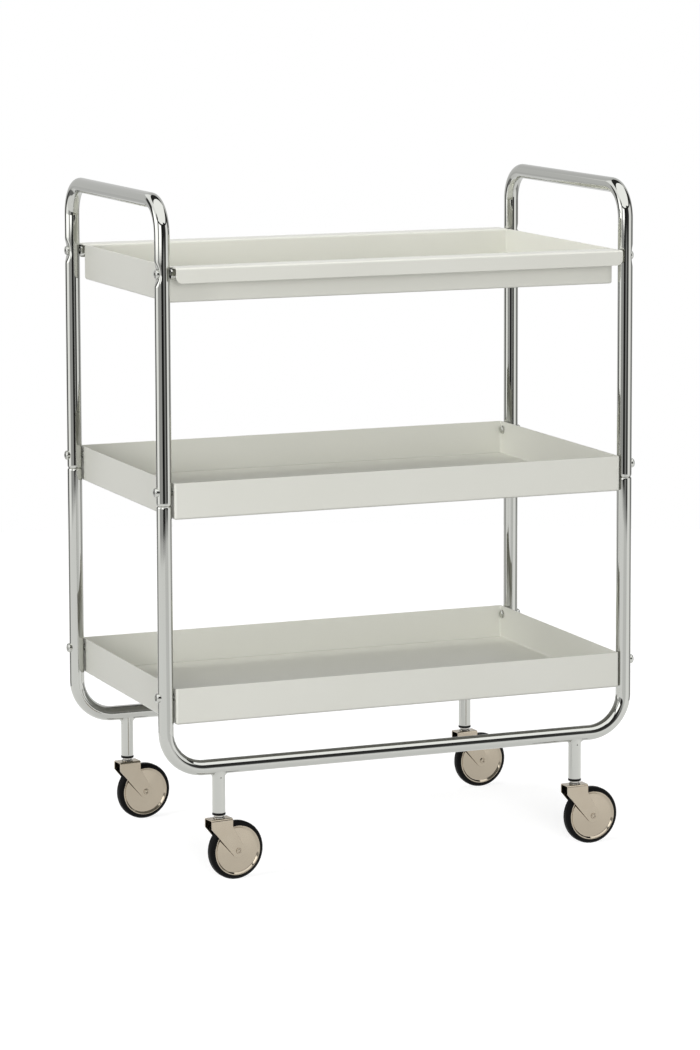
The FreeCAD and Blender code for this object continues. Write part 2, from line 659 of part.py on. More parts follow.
def caster_fork(label, where):
    """Inverted U of sheet whose cheeks run back from the stem to the axle."""
    body = new_body(label)
    side_view = new_sketch(body, "XZ_Plane")
    front, back = "(-fork_length / 2)", "(fork_length / 2)"
    skirt = f"({FORK_TOP} - fork_skirt)"
    axle = at("trail", WHEEL_R)
    radius = value("fork_end")

    def touch_angle(corner, side):
        """Where a line from a corner touches the cheek's round end."""
        away = at(*corner) - axle
        return math.atan2(away.y, away.x) + side * math.acos(radius / away.Length)

    start = touch_angle((front, skirt), 1)
    end = touch_angle((back, skirt), -1)
    round_end = Part.ArcOfCircle(Part.Circle(axle, Vector(0, 0, 1), radius), start, end + 2 * math.pi)
    lines = [
        Part.LineSegment(at(front, FORK_TOP), at(back, FORK_TOP)),
        Part.LineSegment(at(back, FORK_TOP), at(back, skirt)),
        Part.LineSegment(at(back, skirt), round_end.EndPoint),
        Part.LineSegment(round_end.StartPoint, at(front, skirt)),
        Part.LineSegment(at(front, skirt), at(front, FORK_TOP)),
    ]
    top, rear, rear_slope, front_slope, nose = (side_view.addGeometry(line, False) for line in lines)
    arc = side_view.addGeometry(round_end, False)
    for before, after in ((top, rear), (rear, rear_slope), (front_slope, nose), (nose, top)):
        side_view.addConstraint(Sketcher.Constraint("Coincident", before, END, after, START))
    side_view.addConstraint(Sketcher.Constraint("Tangent", rear_slope, END, arc, END))
    side_view.addConstraint(Sketcher.Constraint("Tangent", front_slope, START, arc, START))
    hold(side_view, top, START, front, FORK_TOP)
    hold(side_view, rear, START, back, FORK_TOP)
    hold(side_view, rear_slope, START, back, skirt)
    hold(side_view, nose, START, front, skirt)
    hold(side_view, arc, CENTRE, "trail", WHEEL_R)
    tie(side_view, Sketcher.Constraint("Radius", arc, radius), "fork_end")
    pad(body, side_view, f"(2 * {FORK_HALF})")

    behind = "(trail + 2 * fork_end)"
    inside = rectangle(new_sketch(body, "XZ_Plane"), "(-fork_length)", "0", behind, PLATE_BASE)
    hollow = pocket(body, inside, f"(2 * {FORK_INSIDE})")
    half, roof = value(FORK_HALF), value(FORK_TOP)

    def outer_fold(edge):
        box = edge.BoundBox
        return box.ZMin > roof - TOUCH and box.YLength < TOUCH and abs(box.YMin) > half - TOUCH

    fillet(body, hollow, "fork_bend", outer_fold)
    stem_hole = circle(new_sketch(body, "XY_Plane"), f"({STEM_R} + seat_clearance)")
    pocket(body, stem_hole, f"(3 * {FORK_TOP})")
    axle_hole = circle(new_sketch(body, "XZ_Plane"), "(axle_od / 2 + seat_clearance)", "trail", WHEEL_R)
    pocket(body, axle_hole, f"(3 * {FORK_HALF})")
    where(body)
    node(body, label)


def caster_wheel(corner, on_axle):
    """Tyre, core, cover discs and bush of one wheel, turned about the axle."""
    seat, flank_r = f"({BED_R} + seat_clearance)", f"({COVER_R} + cover_play)"
    tyre = new_body(corner + "_tyre")
    half = "(tyre_width / 2)"
    section = polygon(new_sketch(tyre, "XY_Plane"), [
        (seat, f"-{TYRE_FLANK}"), (flank_r, f"-{TYRE_FLANK}"), (flank_r, f"-{half}"),
        (WHEEL_R, f"-{half}"), (WHEEL_R, half), (flank_r, half),
        (flank_r, TYRE_FLANK), (seat, TYRE_FLANK),
    ])
    turned = revolve(tyre, section, "V_Axis")
    tread = value(WHEEL_R)
    fillet(tyre, turned, "min(tyre_round; tyre_side - cover_play - tyre_land)",
           lambda edge: edge.BoundBox.ZMax > tread - TOUCH and edge.BoundBox.YLength < TOUCH)
    on_axle(tyre)
    node(tyre, corner + "_tyre")

    bush_seat = f"({BUSH_R} + seat_clearance)"
    boss, rim_in = f"({BUSH_R} + core_boss)", f"({BED_R} - core_rim)"
    boss_half, web_half = f"({COVER_FACE} - cover_sheet)", "(core_web / 2)"
    turned_piece(corner + "_wheel_core", "XY_Plane", [
        (bush_seat, f"-{boss_half}"), (boss, f"-{boss_half}"), (boss, f"-{web_half}"),
        (rim_in, f"-{web_half}"), (rim_in, f"-{TYRE_FLANK}"), (BED_R, f"-{TYRE_FLANK}"),
        (BED_R, TYRE_FLANK), (rim_in, TYRE_FLANK),
        (rim_in, web_half), (boss, web_half), (boss, boss_half), (bush_seat, boss_half),
    ], "V_Axis", on_axle)

    cover = new_body(corner + "_cover")
    flat = f"({COVER_R} - cover_bevel)"
    revolve(cover, polygon(new_sketch(cover, "XY_Plane"), [
        (bush_seat, f"-{COVER_FACE}"), (flat, f"-{COVER_FACE}"), (COVER_R, f"-{COVER_EDGE}"),
        (COVER_R, f"-{TYRE_FLANK}"), (flat, f"-{boss_half}"), (bush_seat, f"-{boss_half}"),
    ]), "V_Axis")
    far_cover = mirror(cover, corner + "_far_cover", Vector(0, 1, 0))
    covers = doc.addObject("Part::Compound", corner + "_wheel_covers")
    covers.Links = [cover, far_cover]
    on_axle(covers)
    node(covers, corner + "_wheel_covers")

    bush_half = f"({FORK_INSIDE} - bush_play)"
    inner, outer = "(axle_od / 2 + axle_fit)", BUSH_R
    turned_piece(corner + "_hub_bush", "XY_Plane", [
        (inner, f"-{bush_half}"), (outer, f"-{bush_half}"), (outer, bush_half), (inner, bush_half),
    ], "V_Axis", on_axle)


def check_and_write():
    """Stops at anything that failed to build, then writes one file for each sub-part."""
    doc.recompute()
    for item in doc.Objects:
        if {"Invalid", "Error"} & set(item.State):
            raise RuntimeError(f"{item.Label} failed to build: {item.State}")
    os.makedirs("parts", exist_ok=True)
    for item in nodes:
        if item.Shape.isNull() or not item.Shape.isValid() or not item.Shape.Solids:
            raise RuntimeError(f"{item.Label} has no valid solid")
        item.Shape.exportStep(f"parts/{item.Label}.step")
        print(f"{item.Label}: {len(item.Shape.Solids)} solid(s), {item.Shape.Volume:.1f} mm3")


handle_hoops()
lower_frames()
joint_spigots()
for tier, base, bolts in (("middle", MIDDLE_BASE, MIDDLE_BOLT), ("bottom", BOTTOM_BASE, BOTTOM_BOLT)):
    bolted_shelf(tier + "_shelf", base)
    shelf_fasteners(tier, bolts)
tray_pegs()
serving_tray()
caster_stubs()
for depth_name, side_y in (("front", "-"), ("rear", "")):
    for width_name, side_x in (("left", "-"), ("right", "")):
        caster(f"{depth_name}_{width_name}", side_x, side_y)
check_and_write()
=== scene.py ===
"""Looks of a rolling shelf: plated tube frame, powder coated shelves and tray, casters, and their studio."""

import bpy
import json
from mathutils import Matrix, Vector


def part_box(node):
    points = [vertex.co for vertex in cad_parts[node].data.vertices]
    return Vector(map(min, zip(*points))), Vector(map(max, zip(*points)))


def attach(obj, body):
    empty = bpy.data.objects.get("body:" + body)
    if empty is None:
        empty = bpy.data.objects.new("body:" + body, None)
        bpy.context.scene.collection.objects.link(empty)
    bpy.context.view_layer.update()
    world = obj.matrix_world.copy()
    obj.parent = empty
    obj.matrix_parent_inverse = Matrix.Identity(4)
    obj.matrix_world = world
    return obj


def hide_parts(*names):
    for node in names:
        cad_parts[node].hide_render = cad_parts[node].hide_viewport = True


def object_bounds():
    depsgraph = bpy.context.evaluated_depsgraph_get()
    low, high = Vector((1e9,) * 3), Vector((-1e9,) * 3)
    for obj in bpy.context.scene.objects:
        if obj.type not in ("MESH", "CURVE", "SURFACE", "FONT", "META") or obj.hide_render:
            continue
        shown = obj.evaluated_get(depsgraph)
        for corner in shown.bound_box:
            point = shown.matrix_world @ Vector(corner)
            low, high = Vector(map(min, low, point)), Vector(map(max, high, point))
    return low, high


bl_info = {
    "name": "Rolling shelf",
    "version": (1, 0, 0),
    "blender": (4, 5, 0),
    "location": "3D View > Sidebar > Rolling shelf",
    "description": "Builds the finished pieces of a three-tier rolling shelf over its packed frame",
    "category": "Object",
}

import json
import math
import bmesh
import bpy
from bpy.props import FloatProperty, FloatVectorProperty, PointerProperty
from bpy.types import Operator, Panel, PropertyGroup
from mathutils import Matrix, Vector

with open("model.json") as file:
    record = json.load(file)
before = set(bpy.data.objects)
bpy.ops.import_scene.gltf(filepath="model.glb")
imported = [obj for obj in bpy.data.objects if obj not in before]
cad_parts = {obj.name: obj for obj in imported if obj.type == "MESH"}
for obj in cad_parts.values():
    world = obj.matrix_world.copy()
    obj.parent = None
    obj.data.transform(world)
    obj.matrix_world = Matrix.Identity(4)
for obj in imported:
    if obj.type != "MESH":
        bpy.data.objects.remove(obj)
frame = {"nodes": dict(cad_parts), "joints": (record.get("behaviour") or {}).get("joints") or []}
CAD_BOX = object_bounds()

MM = 0.001
# Closest two corners of a mesh may lie
MERGE = 1e-7
# Edges that turn further than this stay sharp, and folds that turn further get a soft edge
SHARP_EDGE = math.radians(38)
SOFT_EDGE = math.radians(50)
# From a bend or an end to the ring that keeps the tube beside it straight
GUARD = 1 * MM
# How far a bolt's head reaches into the post it sits on
OVERLAP = 1 * MM
# Height of the mirrored bands over the floor
SHEEN_HEIGHT = 2 * MM
# Corners of round pieces, and steps of bends and roundings
TUBE_SIDES = 48
TURNED_SIDES = 48
WHEEL_SIDES = 96
HEX_SIDES = 24
BEND_STEPS = 24
ROUND_STEPS = 6
EDGE_STEPS = 3
SOFT_STEPS = 2
# Rows of a dimple, and of a stub tube below its weld, where the vent takes up some rows and columns
DIMPLE_ROWS = 27
STUB_ROWS = 8
VENT_ROWS = range(3, 6)
VENT_COLUMNS = range(34, 38)
CORNERS = ("front_left", "front_right", "rear_left", "rear_right")
JOINTS = {joint["name"]: joint for joint in frame["joints"]}


def middle(node):
    """Centre of a CAD node's box."""
    low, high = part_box(node)
    return (Vector(low) + Vector(high)) / 2


def spread(node):
    """Half the size of a CAD node's box along each axis."""
    low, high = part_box(node)
    return (Vector(high) - Vector(low)) / 2


# Places that the frame gives
TUBE_R = spread("left_handle_hoop").x
POST_X = middle("right_handle_hoop").x
POST_Y = spread("left_handle_hoop").y - TUBE_R
HANDLE_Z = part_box("left_handle_hoop")[1][2] - TUBE_R
HOOP_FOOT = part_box("left_handle_hoop")[0][2]
RAIL_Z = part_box("front_lower_frame")[0][2] + TUBE_R
LOWER_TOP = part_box("front_lower_frame")[1][2]
PEG_Z = middle("tray_peg_cap_nuts").z
STUB_X = JOINTS["front_right_swivel"]["pos_m"][0]
STUB_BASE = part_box("caster_stub_tubes")[0][2]
FORK_TOP = JOINTS["front_left_swivel"]["pos_m"][2]
WHEEL_R = JOINTS["front_left_roll"]["pos_m"][2]


def linear(code):
    """An sRGB hex colour as linear values."""
    parts = [int(code[i:i + 2], 16) / 255 for i in (1, 3, 5)]
    return tuple(v / 12.92 if v <= 0.04045 else ((v + 0.055) / 1.055) ** 2.4 for v in parts)


def number(name, default, description, **options):
    """A number property."""
    return FloatProperty(name=name, description=description, default=default, **options)


def length(name, mm, description):
    """A length property with its default in millimetres."""
    return number(name, mm * MM, description, unit="LENGTH", precision=5)


def location(name, default, description):
    """A property for a place in metres."""
    return FloatVectorProperty(
        name=name, description=description, default=default, subtype="TRANSLATION", size=3)


def colour(name, code, description):
    """A colour property with its default as an sRGB hex value."""
    return FloatVectorProperty(
        name=name, description=description, default=linear(code), subtype="COLOR", size=3, min=0.0, max=1.0)


class TubeSizes(PropertyGroup):
    """Sizes of the bent tube frame and its stub tubes."""
    wall: length("Tube wall", 1.5, "Wall of the frame tube")
    handle_bend: length("Handle bend", 40, "Bend radius of the handle on its centre line")
    rail_bend: length("Rail bend", 48, "Bend radius of the rail on its centre line")
    end_depth: length("End rounding, depth", 1.5, "How far a tube's cut end is drawn in")
    end_length: length("End rounding, length", 3.0, "Length of a tube's rounded end")
    dimple_depth: length("Dimple depth", 4, "Depth of the dimple under a peg bolt's head")
    dimple_height: length("Dimple height", 27, "Height of that dimple")
    dimple_blend: length("Dimple softness", 2.4, "Width over which a dimple runs into the tube")
    dimple_row: length("Dimple rows", 1.4, "Spacing of the rows in a dimple")
    stub_radius: length("Stub radius", 8, "Outside radius of a caster's stub tube")
    stub_wall: length("Stub wall", 1.5, "Wall of a stub tube")
    weld: length("Weld radius", 4.5, "Radius of the weld between stub and rail")
    weld_sink: length("Weld sink", 0.3, "How far the weld's edge runs into the rail")
    weld_rows: length("Weld rows", 18, "Centre of the rail down to the first row below the weld")
    vent_radius: length("Vent radius", 1.1, "Plating vent in a stub tube")
    vent_drop: length("Vent drop", 13, "Centre of the rail down to the vent")
    vent_depth: length("Vent depth", 1.2, "Depth of the vent")


class SheetSizes(PropertyGroup):
    """Sizes of the folded sheet of shelves and tray."""
    thickness: length("Sheet thickness", 1.5, "Thickness of the sheet")
    fold: length("Fold", 3, "Outer radius of a fold")
    edge: length("Cut edge", 0.35, "Rounding of a coated cut edge")
    lip_drop: length("Lip height", 19, "Height of the tray's lip")
    lip_end: length("Lip end", 8, "Rounding of the lip's lower corners")
    hook_inner: length("Hook, inner", 12.2, "Post centre to the tray's basin")
    relief: length("Relief", 0.5, "Width of the relief cut beside a hook")
    seam: length("Seam", 2, "How far below the fold a hook grows out of its wall")


class FastenerSizes(PropertyGroup):
    """Sizes of bolts, washers, nuts and pegs."""
    shank: length("Shank radius", 3, "Shank of a bolt")
    head: length("Head radius", 6, "Dome head of a bolt")
    head_height: length("Head height", 3.4, "Height of a dome head over its seat")
    head_round: length("Head rounding", 2.2, "Radius of a dome head's shoulder")
    socket: length("Socket", 2, "Centre to flat of the hexagon socket in a head")
    socket_depth: length("Socket depth", 0.6, "Depth of that socket")
    washer: length("Washer radius", 5, "Washer between post and shelf")
    washer_thickness: length("Washer thickness", 0.75, "Thickness of that washer")
    washer_bore: length("Washer bore", 3.2, "Bore of that washer")
    nut: length("Nut radius", 5.75, "Domed nut inside a shelf")
    nut_height: length("Nut height", 4, "Height of that nut")
    nut_side: length("Nut side", 1.1, "Straight side of that nut")
    peg_flat: length("Peg flat", 6.5, "Centre to flat of a cap nut's hexagon")
    peg_hex: length("Peg hexagon", 5.5, "Length of that hexagon")
    peg_chamfer: length("Peg chamfer", 0.7, "Chamfer of the hexagon's points")
    peg_dome: length("Peg dome radius", 5.8, "Dome of a cap nut")
    peg_dome_height: length("Peg dome height", 5, "Height of that dome")


class CasterSizes(PropertyGroup):
    """Sizes of a caster."""
    flange: length("Flange radius", 8.3, "Flange of the stem socket")
    flange_height: length("Flange height", 3, "Height of that flange")
    flange_edge: length("Flange edge", 0.6, "Rounding of that flange")
    sleeve: length("Sleeve radius", 6.45, "Sleeve of the stem socket inside the stub")
    sleeve_top: length("Sleeve top", 126.2, "Floor to the top of that sleeve")
    bore: length("Socket bore", 4.55, "Bore of the stem socket")
    stem: length("Stem radius", 4.5, "Stem of a caster")
    stem_top: length("Stem top", 122.2, "Floor to the top of the stem")
    neck: length("Neck bead", 7.3, "Bead at the foot of the neck between socket and fork")
    neck_waist: length("Neck waist", 5.9, "Radius of that neck above its bead")
    neck_height: length("Neck height", 3.8, "Height of that neck")
    neck_edge: length("Neck edge", 0.7, "Rounding of that bead")
    rivet: length("Rivet radius", 5, "Rivet head of the stem under the fork")
    rivet_height: length("Rivet height", 1.5, "Height of that rivet head")
    fork_length: length("Fork length", 29.5, "Top plate of the fork along the wheel")
    fork_half: length("Fork half width", 9.7, "Middle of the fork to the outside of a cheek")
    fork_sheet: length("Fork sheet", 1.5, "Thickness of the fork")
    fork_bend: length("Fork fold", 2.5, "Outer radius of the fork's folds")
    fork_skirt: length("Fork skirt", 11.5, "Straight edge of a cheek below the top")
    fork_end: length("Fork end", 8.75, "Radius of a cheek around the axle")
    fork_edge: length("Fork edge", 0.25, "Rounding of the fork's cut edges")
    axle: length("Axle radius", 3, "Shank of the axle rivet")
    axle_head: length("Axle head radius", 3.8, "Head of the axle rivet")
    axle_head_height: length("Axle head height", 1.6, "Height of that head")
    axle_hollow: length("Axle hollow", 1.5, "Radius of the hollow in the middle of that head")


class WheelSizes(PropertyGroup):
    """Sizes of a wheel."""
    half_width: length("Tyre half width", 7, "Half the width of the tyre")
    shoulder: length("Tyre shoulder", 5, "Radius of the tyre's shoulders")
    bed: length("Tyre bed", 27.05, "Inner radius of the tyre")
    flank: length("Tyre flank", 4.6, "Half width of the tyre under the covers")
    wall_radius: length("Tyre wall", 31.6, "Inner radius of the tyre's side walls")
    wall_edge: length("Tyre wall edge", 0.4, "Rounding of the side wall's inner edge")
    cover: length("Cover radius", 31.3, "Outer radius of a cover disc")
    cover_rim: length("Cover rim", 7.2, "Middle of the wheel to the top of a cover's rim")
    cover_bead: length("Cover bead", 0.9, "Radius of the rim's outer bead")
    cover_flank: length("Cover flank", 2.3, "Length of the rim's straight inner side")
    cover_flare: length("Cover flare", 1, "Radius of the hollow between face and rim")
    cover_turn: number("Cover rim slope", math.radians(45), "Slope of the rim's inner side", subtype="ANGLE")
    cover_cone: number("Cover cone", math.radians(6), "Slope of a cover's face", subtype="ANGLE")
    cover_sheet: length("Cover sheet", 0.4, "Thickness of a cover disc")
    cover_hole: length("Cover hole", 5.05, "Hole of a cover disc around the bush")


class Finishes(PropertyGroup):
    """Colours of the finishes."""
    chrome: colour("Chrome", "#C6C7C2", "Bright chrome plate")
    paint: colour("Paint", "#DCDCD4", "Warm light grey powder coat")
    paint_shade: colour("Paint, thin", "#D8D8CF", "The same coat where it lies thinner")
    nickel: colour("Nickel", "#BFB5A4", "Warm nickel plate")
    nickel_shade: colour("Nickel, worn", "#B8AD9B", "The same plate where it is rubbed")
    steel: colour("Steel", "#C2C0BA", "Bright zinc plate")
    nylon: colour("Nylon", "#050505", "Black moulded nylon")
    rubber: colour("Rubber", "#060606", "Black moulded rubber")
    rubber_bloom: colour("Rubber bloom", "#0B0B0B", "The same rubber where it has bloomed")
    floor: colour("Floor", "#9C9C9C", "Pale studio paper")


class StudioSizes(PropertyGroup):
    """Camera and lights."""
    standpoint: location("Standpoint", (-1.8578, -4.6042, 1.2062), "Where the camera stands")
    turn: number("Turn", 0.3844, "Camera's turn from +Y towards +X", subtype="ANGLE")
    tilt: number("Tilt", -0.1174, "Camera's tilt upwards", subtype="ANGLE")
    roll: number("Roll", -0.0029, "Camera's roll", subtype="ANGLE")
    lens: number("Lens", 133.86, "Focal length in millimetres")
    shift: number("Shift", -0.16, "Vertical lens shift")
    paper: number("Paper", 2.5, "Radius of the floor's paper", unit="LENGTH")
    sheen: number("Sheen", 0.9, "Radius from which the floor's bands show in mirrors", unit="LENGTH")
    ceiling: number("Ceiling", 0.03, "Level of the ceiling in mirrors")
    ambient: number("Ambient", 0.4, "Level of the light from all round")
    glow: number("Glow", 0.78, "What lifts the paper to white")
    mirrored_glow: number("Mirrored glow", 0.7, "What lifts the paper in mirrors")
    softbox: location("Softbox", (-0.2, -0.71, 2.3), "Middle of the softbox above the front")
    softbox_width: number("Softbox width", 4.0, "Width of that softbox", unit="LENGTH")
    softbox_height: number("Softbox height", 2.66, "Height of that softbox", unit="LENGTH")
    softbox_level: number("Softbox level", 1.4, "Level of that softbox in mirrors")


class RollingShelfSettings(PropertyGroup):
    """All settings of the rolling shelf."""
    tube: PointerProperty(type=TubeSizes)
    sheet: PointerProperty(type=SheetSizes)
    fastener: PointerProperty(type=FastenerSizes)
    caster: PointerProperty(type=CasterSizes)
    wheel: PointerProperty(type=WheelSizes)
    finish: PointerProperty(type=Finishes)
    studio: PointerProperty(type=StudioSizes)


def per(mm):
    """Scale of a pattern whose features are that many millimetres across."""
    return 1 / (mm * MM)


def add(tree, kind, wires=None, **settings):
    """Adds one shader node. Settings are its own fields, wires its inputs: values or other nodes' outputs."""
    item = tree.nodes.new("ShaderNode" + kind)
    for field, value in settings.items():
        setattr(item, field, value)
    for socket, value in (wires or {}).items():
        if isinstance(value, bpy.types.NodeSocket):
            tree.links.new(value, item.inputs[socket])
        else:
            item.inputs[socket].default_value = value
    return item


def opaque(rgb):
    """A colour with full alpha."""
    return (*rgb, 1.0)


def new_material(name):
    """A new material without nodes, and its node tree."""
    material = bpy.data.materials.new(name)
    material.use_nodes = True
    material.node_tree.nodes.clear()
    return material, material.node_tree


def chrome_plate_buffed_tube(look):
    """Bright chrome on drawn and buffed tube. The eye sees a clean mirror, a little wavy, with faint buffing
    lines along the tube."""
    material, tree = new_material("Chrome plate, buffed, on drawn steel tube")
    along = add(tree, "UVMap").outputs[0]
    # Buffing lines are finer than 0.1 mm. They are drawn 0.4 mm apart, 150 in a turn, so that they show.
    lines = add(tree, "Mapping", {"Vector": along, "Scale": (150.0, per(30), 1.0)}).outputs[0]
    buffing = add(tree, "TexNoise", {"Vector": lines, "Scale": 1.0, "Detail": 3.0}).outputs[0]
    rough = add(tree, "MapRange", {"Value": buffing, "To Min": 0.015, "To Max": 0.06}).outputs[0]
    place = add(tree, "TexCoord").outputs["Object"]
    waves = add(tree, "TexNoise", {"Vector": place, "Scale": per(45), "Detail": 1.0}).outputs[0]
    wavy = add(tree, "Bump", {"Height": waves, "Strength": 0.12, "Distance": 0.6 * MM}).outputs[0]
    shader = add(tree, "BsdfPrincipled", {
        "Base Color": opaque(look.chrome), "Metallic": 1.0, "Roughness": rough, "Normal": wavy})
    add(tree, "OutputMaterial", {"Surface": shader.outputs[0]})
    return material


def chrome_plate_turned(look):
    """Chrome on turned bolts and nuts. The eye sees a mirror with fine rings from the lathe."""
    material, tree = new_material("Chrome plate, on turned steel")
    along = add(tree, "UVMap").outputs[0]
    # Lathe marks are about 0.05 mm apart. They are drawn at 0.3 mm so that they show.
    rings = add(tree, "Mapping", {"Vector": along, "Scale": (2.0, per(0.3), 1.0)}).outputs[0]
    marks = add(tree, "TexNoise", {"Vector": rings, "Scale": 1.0, "Detail": 2.0}).outputs[0]
    rough = add(tree, "MapRange", {"Value": marks, "To Min": 0.03, "To Max": 0.12}).outputs[0]
    ridge = add(tree, "Bump", {"Height": marks, "Strength": 0.1, "Distance": 0.02 * MM}).outputs[0]
    shader = add(tree, "BsdfPrincipled", {
        "Base Color": opaque(look.chrome), "Metallic": 1.0, "Roughness": rough, "Normal": ridge})
    add(tree, "OutputMaterial", {"Surface": shader.outputs[0]})
    return material


def powder_coat_semi_gloss(look):
    """Baked powder coat on sheet steel. The eye sees a warm grey with a soft gloss and a fine orange peel, on
    sheet that is not quite flat."""
    material, tree = new_material("Powder coat, semi-gloss, on folded sheet steel")
    place = add(tree, "TexCoord").outputs["Object"]
    cloud = add(tree, "TexNoise", {"Vector": place, "Scale": per(110), "Detail": 2.0}).outputs[0]
    tones = {0: cloud, 6: opaque(look.paint_shade), 7: opaque(look.paint)}
    tone = add(tree, "Mix", tones, data_type="RGBA").outputs[2]
    rough = add(tree, "MapRange", {"Value": cloud, "To Min": 0.27, "To Max": 0.36}).outputs[0]
    peel = add(tree, "TexNoise", {"Vector": place, "Scale": per(1.6), "Detail": 2.0}).outputs[0]
    skin = add(tree, "Bump", {"Height": peel, "Strength": 0.25, "Distance": 0.03 * MM}).outputs[0]
    waves = add(tree, "TexNoise", {"Vector": place, "Scale": per(140), "Detail": 1.0}).outputs[0]
    wavy = add(tree, "Bump", {
        "Height": waves, "Strength": 0.3, "Distance": 0.8 * MM, "Normal": skin}).outputs[0]
    shader = add(tree, "BsdfPrincipled", {
        "Base Color": tone, "Roughness": rough, "IOR": 1.5, "Normal": wavy})
    add(tree, "OutputMaterial", {"Surface": shader.outputs[0]})
    return material


def nickel_plate_satin_pressed(look):
    """Nickel on pressed sheet. The eye sees a warm satin metal, a little cloudy, with a fine grain."""
    material, tree = new_material("Nickel plate, satin, on pressed steel")
    place = add(tree, "TexCoord").outputs["Object"]
    cloud = add(tree, "TexNoise", {"Vector": place, "Scale": per(14), "Detail": 3.0}).outputs[0]
    tones = {0: cloud, 6: opaque(look.nickel_shade), 7: opaque(look.nickel)}
    tone = add(tree, "Mix", tones, data_type="RGBA").outputs[2]
    rough = add(tree, "MapRange", {"Value": cloud, "To Min": 0.12, "To Max": 0.2}).outputs[0]
    grain = add(tree, "TexNoise", {"Vector": place, "Scale": per(0.5), "Detail": 2.0}).outputs[0]
    skin = add(tree, "Bump", {"Height": grain, "Strength": 0.15, "Distance": 0.02 * MM}).outputs[0]
    shader = add(tree, "BsdfPrincipled", {
        "Base Color": tone, "Metallic": 1.0, "Roughness": rough, "Normal": skin})
    add(tree, "OutputMaterial", {"Surface": shader.outputs[0]})
    return material


def nickel_plate_satin_spun(look):
    """Nickel on spun discs. The eye sees the same warm satin metal with faint rings around the axle."""
    material, tree = new_material("Nickel plate, satin, on spun steel")
    along = add(tree, "UVMap").outputs[0]
    # Spinning marks are about 0.1 mm apart. They are drawn at 0.8 mm so that they show.
    rings = add(tree, "Mapping", {"Vector": along, "Scale": (3.0, per(0.8), 1.0)}).outputs[0]
    marks = add(tree, "TexNoise", {"Vector": rings, "Scale": 1.0, "Detail": 3.0}).outputs[0]
    tones = {0: marks, 6: opaque(look.nickel_shade), 7: opaque(look.nickel)}
    tone = add(tree, "Mix", tones, data_type="RGBA").outputs[2]
    rough = add(tree, "MapRange", {"Value": marks, "To Min": 0.08, "To Max": 0.14}).outputs[0]
    ridge = add(tree, "Bump", {"Height": marks, "Strength": 0.12, "Distance": 0.02 * MM}).outputs[0]
    shader = add(tree, "BsdfPrincipled", {
        "Base Color": tone, "Metallic": 1.0, "Roughness": rough, "Normal": ridge})
    add(tree, "OutputMaterial", {"Surface": shader.outputs[0]})
    return material


def zinc_plate_turned(look):
    """Bright zinc on turned steel. The eye sees a grey metal with a slight haze."""
    material, tree = new_material("Zinc plate, bright, on turned steel")
    place = add(tree, "TexCoord").outputs["Object"]
    haze = add(tree, "TexNoise", {"Vector": place, "Scale": per(4), "Detail": 3.0}).outputs[0]
    rough = add(tree, "MapRange", {"Value": haze, "To Min": 0.14, "To Max": 0.3}).outputs[0]
    skin = add(tree, "Bump", {"Height": haze, "Strength": 0.1, "Distance": 0.05 * MM}).outputs[0]
    shader = add(tree, "BsdfPrincipled", {
        "Base Color": opaque(look.steel), "Metallic": 1.0, "Roughness": rough, "Normal": skin})
    add(tree, "OutputMaterial", {"Surface": shader.outputs[0]})
    return material


def nylon_moulded(look):
    """Moulded black nylon. The eye sees a dull black with the fine grain of the mould."""
    material, tree = new_material("Nylon, moulded, black")
    place = add(tree, "TexCoord").outputs["Object"]
    grain = add(tree, "TexNoise", {"Vector": place, "Scale": per(0.4), "Detail": 2.0}).outputs[0]
    rough = add(tree, "MapRange", {"Value": grain, "To Min": 0.38, "To Max": 0.55}).outputs[0]
    skin = add(tree, "Bump", {"Height": grain, "Strength": 0.2, "Distance": 0.03 * MM}).outputs[0]
    shader = add(tree, "BsdfPrincipled", {
        "Base Color": opaque(look.nylon), "Roughness": rough, "IOR": 1.53, "Specular IOR Level": 0.15,
        "Normal": skin})
    add(tree, "OutputMaterial", {"Surface": shader.outputs[0]})
    return material


def rubber_moulded(look):
    """Moulded black rubber. The eye sees a satin black, greyer in patches where it has bloomed."""
    material, tree = new_material("Rubber, moulded, black")
    place = add(tree, "TexCoord").outputs["Object"]
    bloom = add(tree, "TexNoise", {"Vector": place, "Scale": per(9), "Detail": 3.0}).outputs[0]
    tones = {0: bloom, 6: opaque(look.rubber), 7: opaque(look.rubber_bloom)}
    tone = add(tree, "Mix", tones, data_type="RGBA").outputs[2]
    rough = add(tree, "MapRange", {"Value": bloom, "To Min": 0.42, "To Max": 0.56}).outputs[0]
    grain = add(tree, "TexNoise", {"Vector": place, "Scale": per(0.6), "Detail": 2.0}).outputs[0]
    skin = add(tree, "Bump", {"Height": grain, "Strength": 0.25, "Distance": 0.04 * MM}).outputs[0]
    shader = add(tree, "BsdfPrincipled", {
        "Base Color": tone, "Roughness": rough, "IOR": 1.52, "Specular IOR Level": 0.1, "Normal": skin})
    add(tree, "OutputMaterial", {"Surface": shader.outputs[0]})
    return material


# What was done to a piece with each finish, and its slot
PROCESSES = {
    chrome_plate_buffed_tube: ("plated", "chrome_tube"),
    chrome_plate_turned: ("plated", "chrome_fasteners"),
    powder_coat_semi_gloss: ("coated", "painted_sheet"),
    nickel_plate_satin_pressed: ("plated", "nickel_plate"),
    nickel_plate_satin_spun: ("plated", "nickel_plate"),
    zinc_plate_turned: ("plated", "bright_steel"),
    nylon_moulded: ("moulded", "black_plastic"),
    rubber_moulded: ("moulded", "black_rubber"),
}
MADE = {}


def finish(maker, context):
    """The material that a function makes, made once."""
    if maker not in MADE:
        MADE[maker] = maker(context.scene.rolling_shelf.finish)
    return MADE[maker]


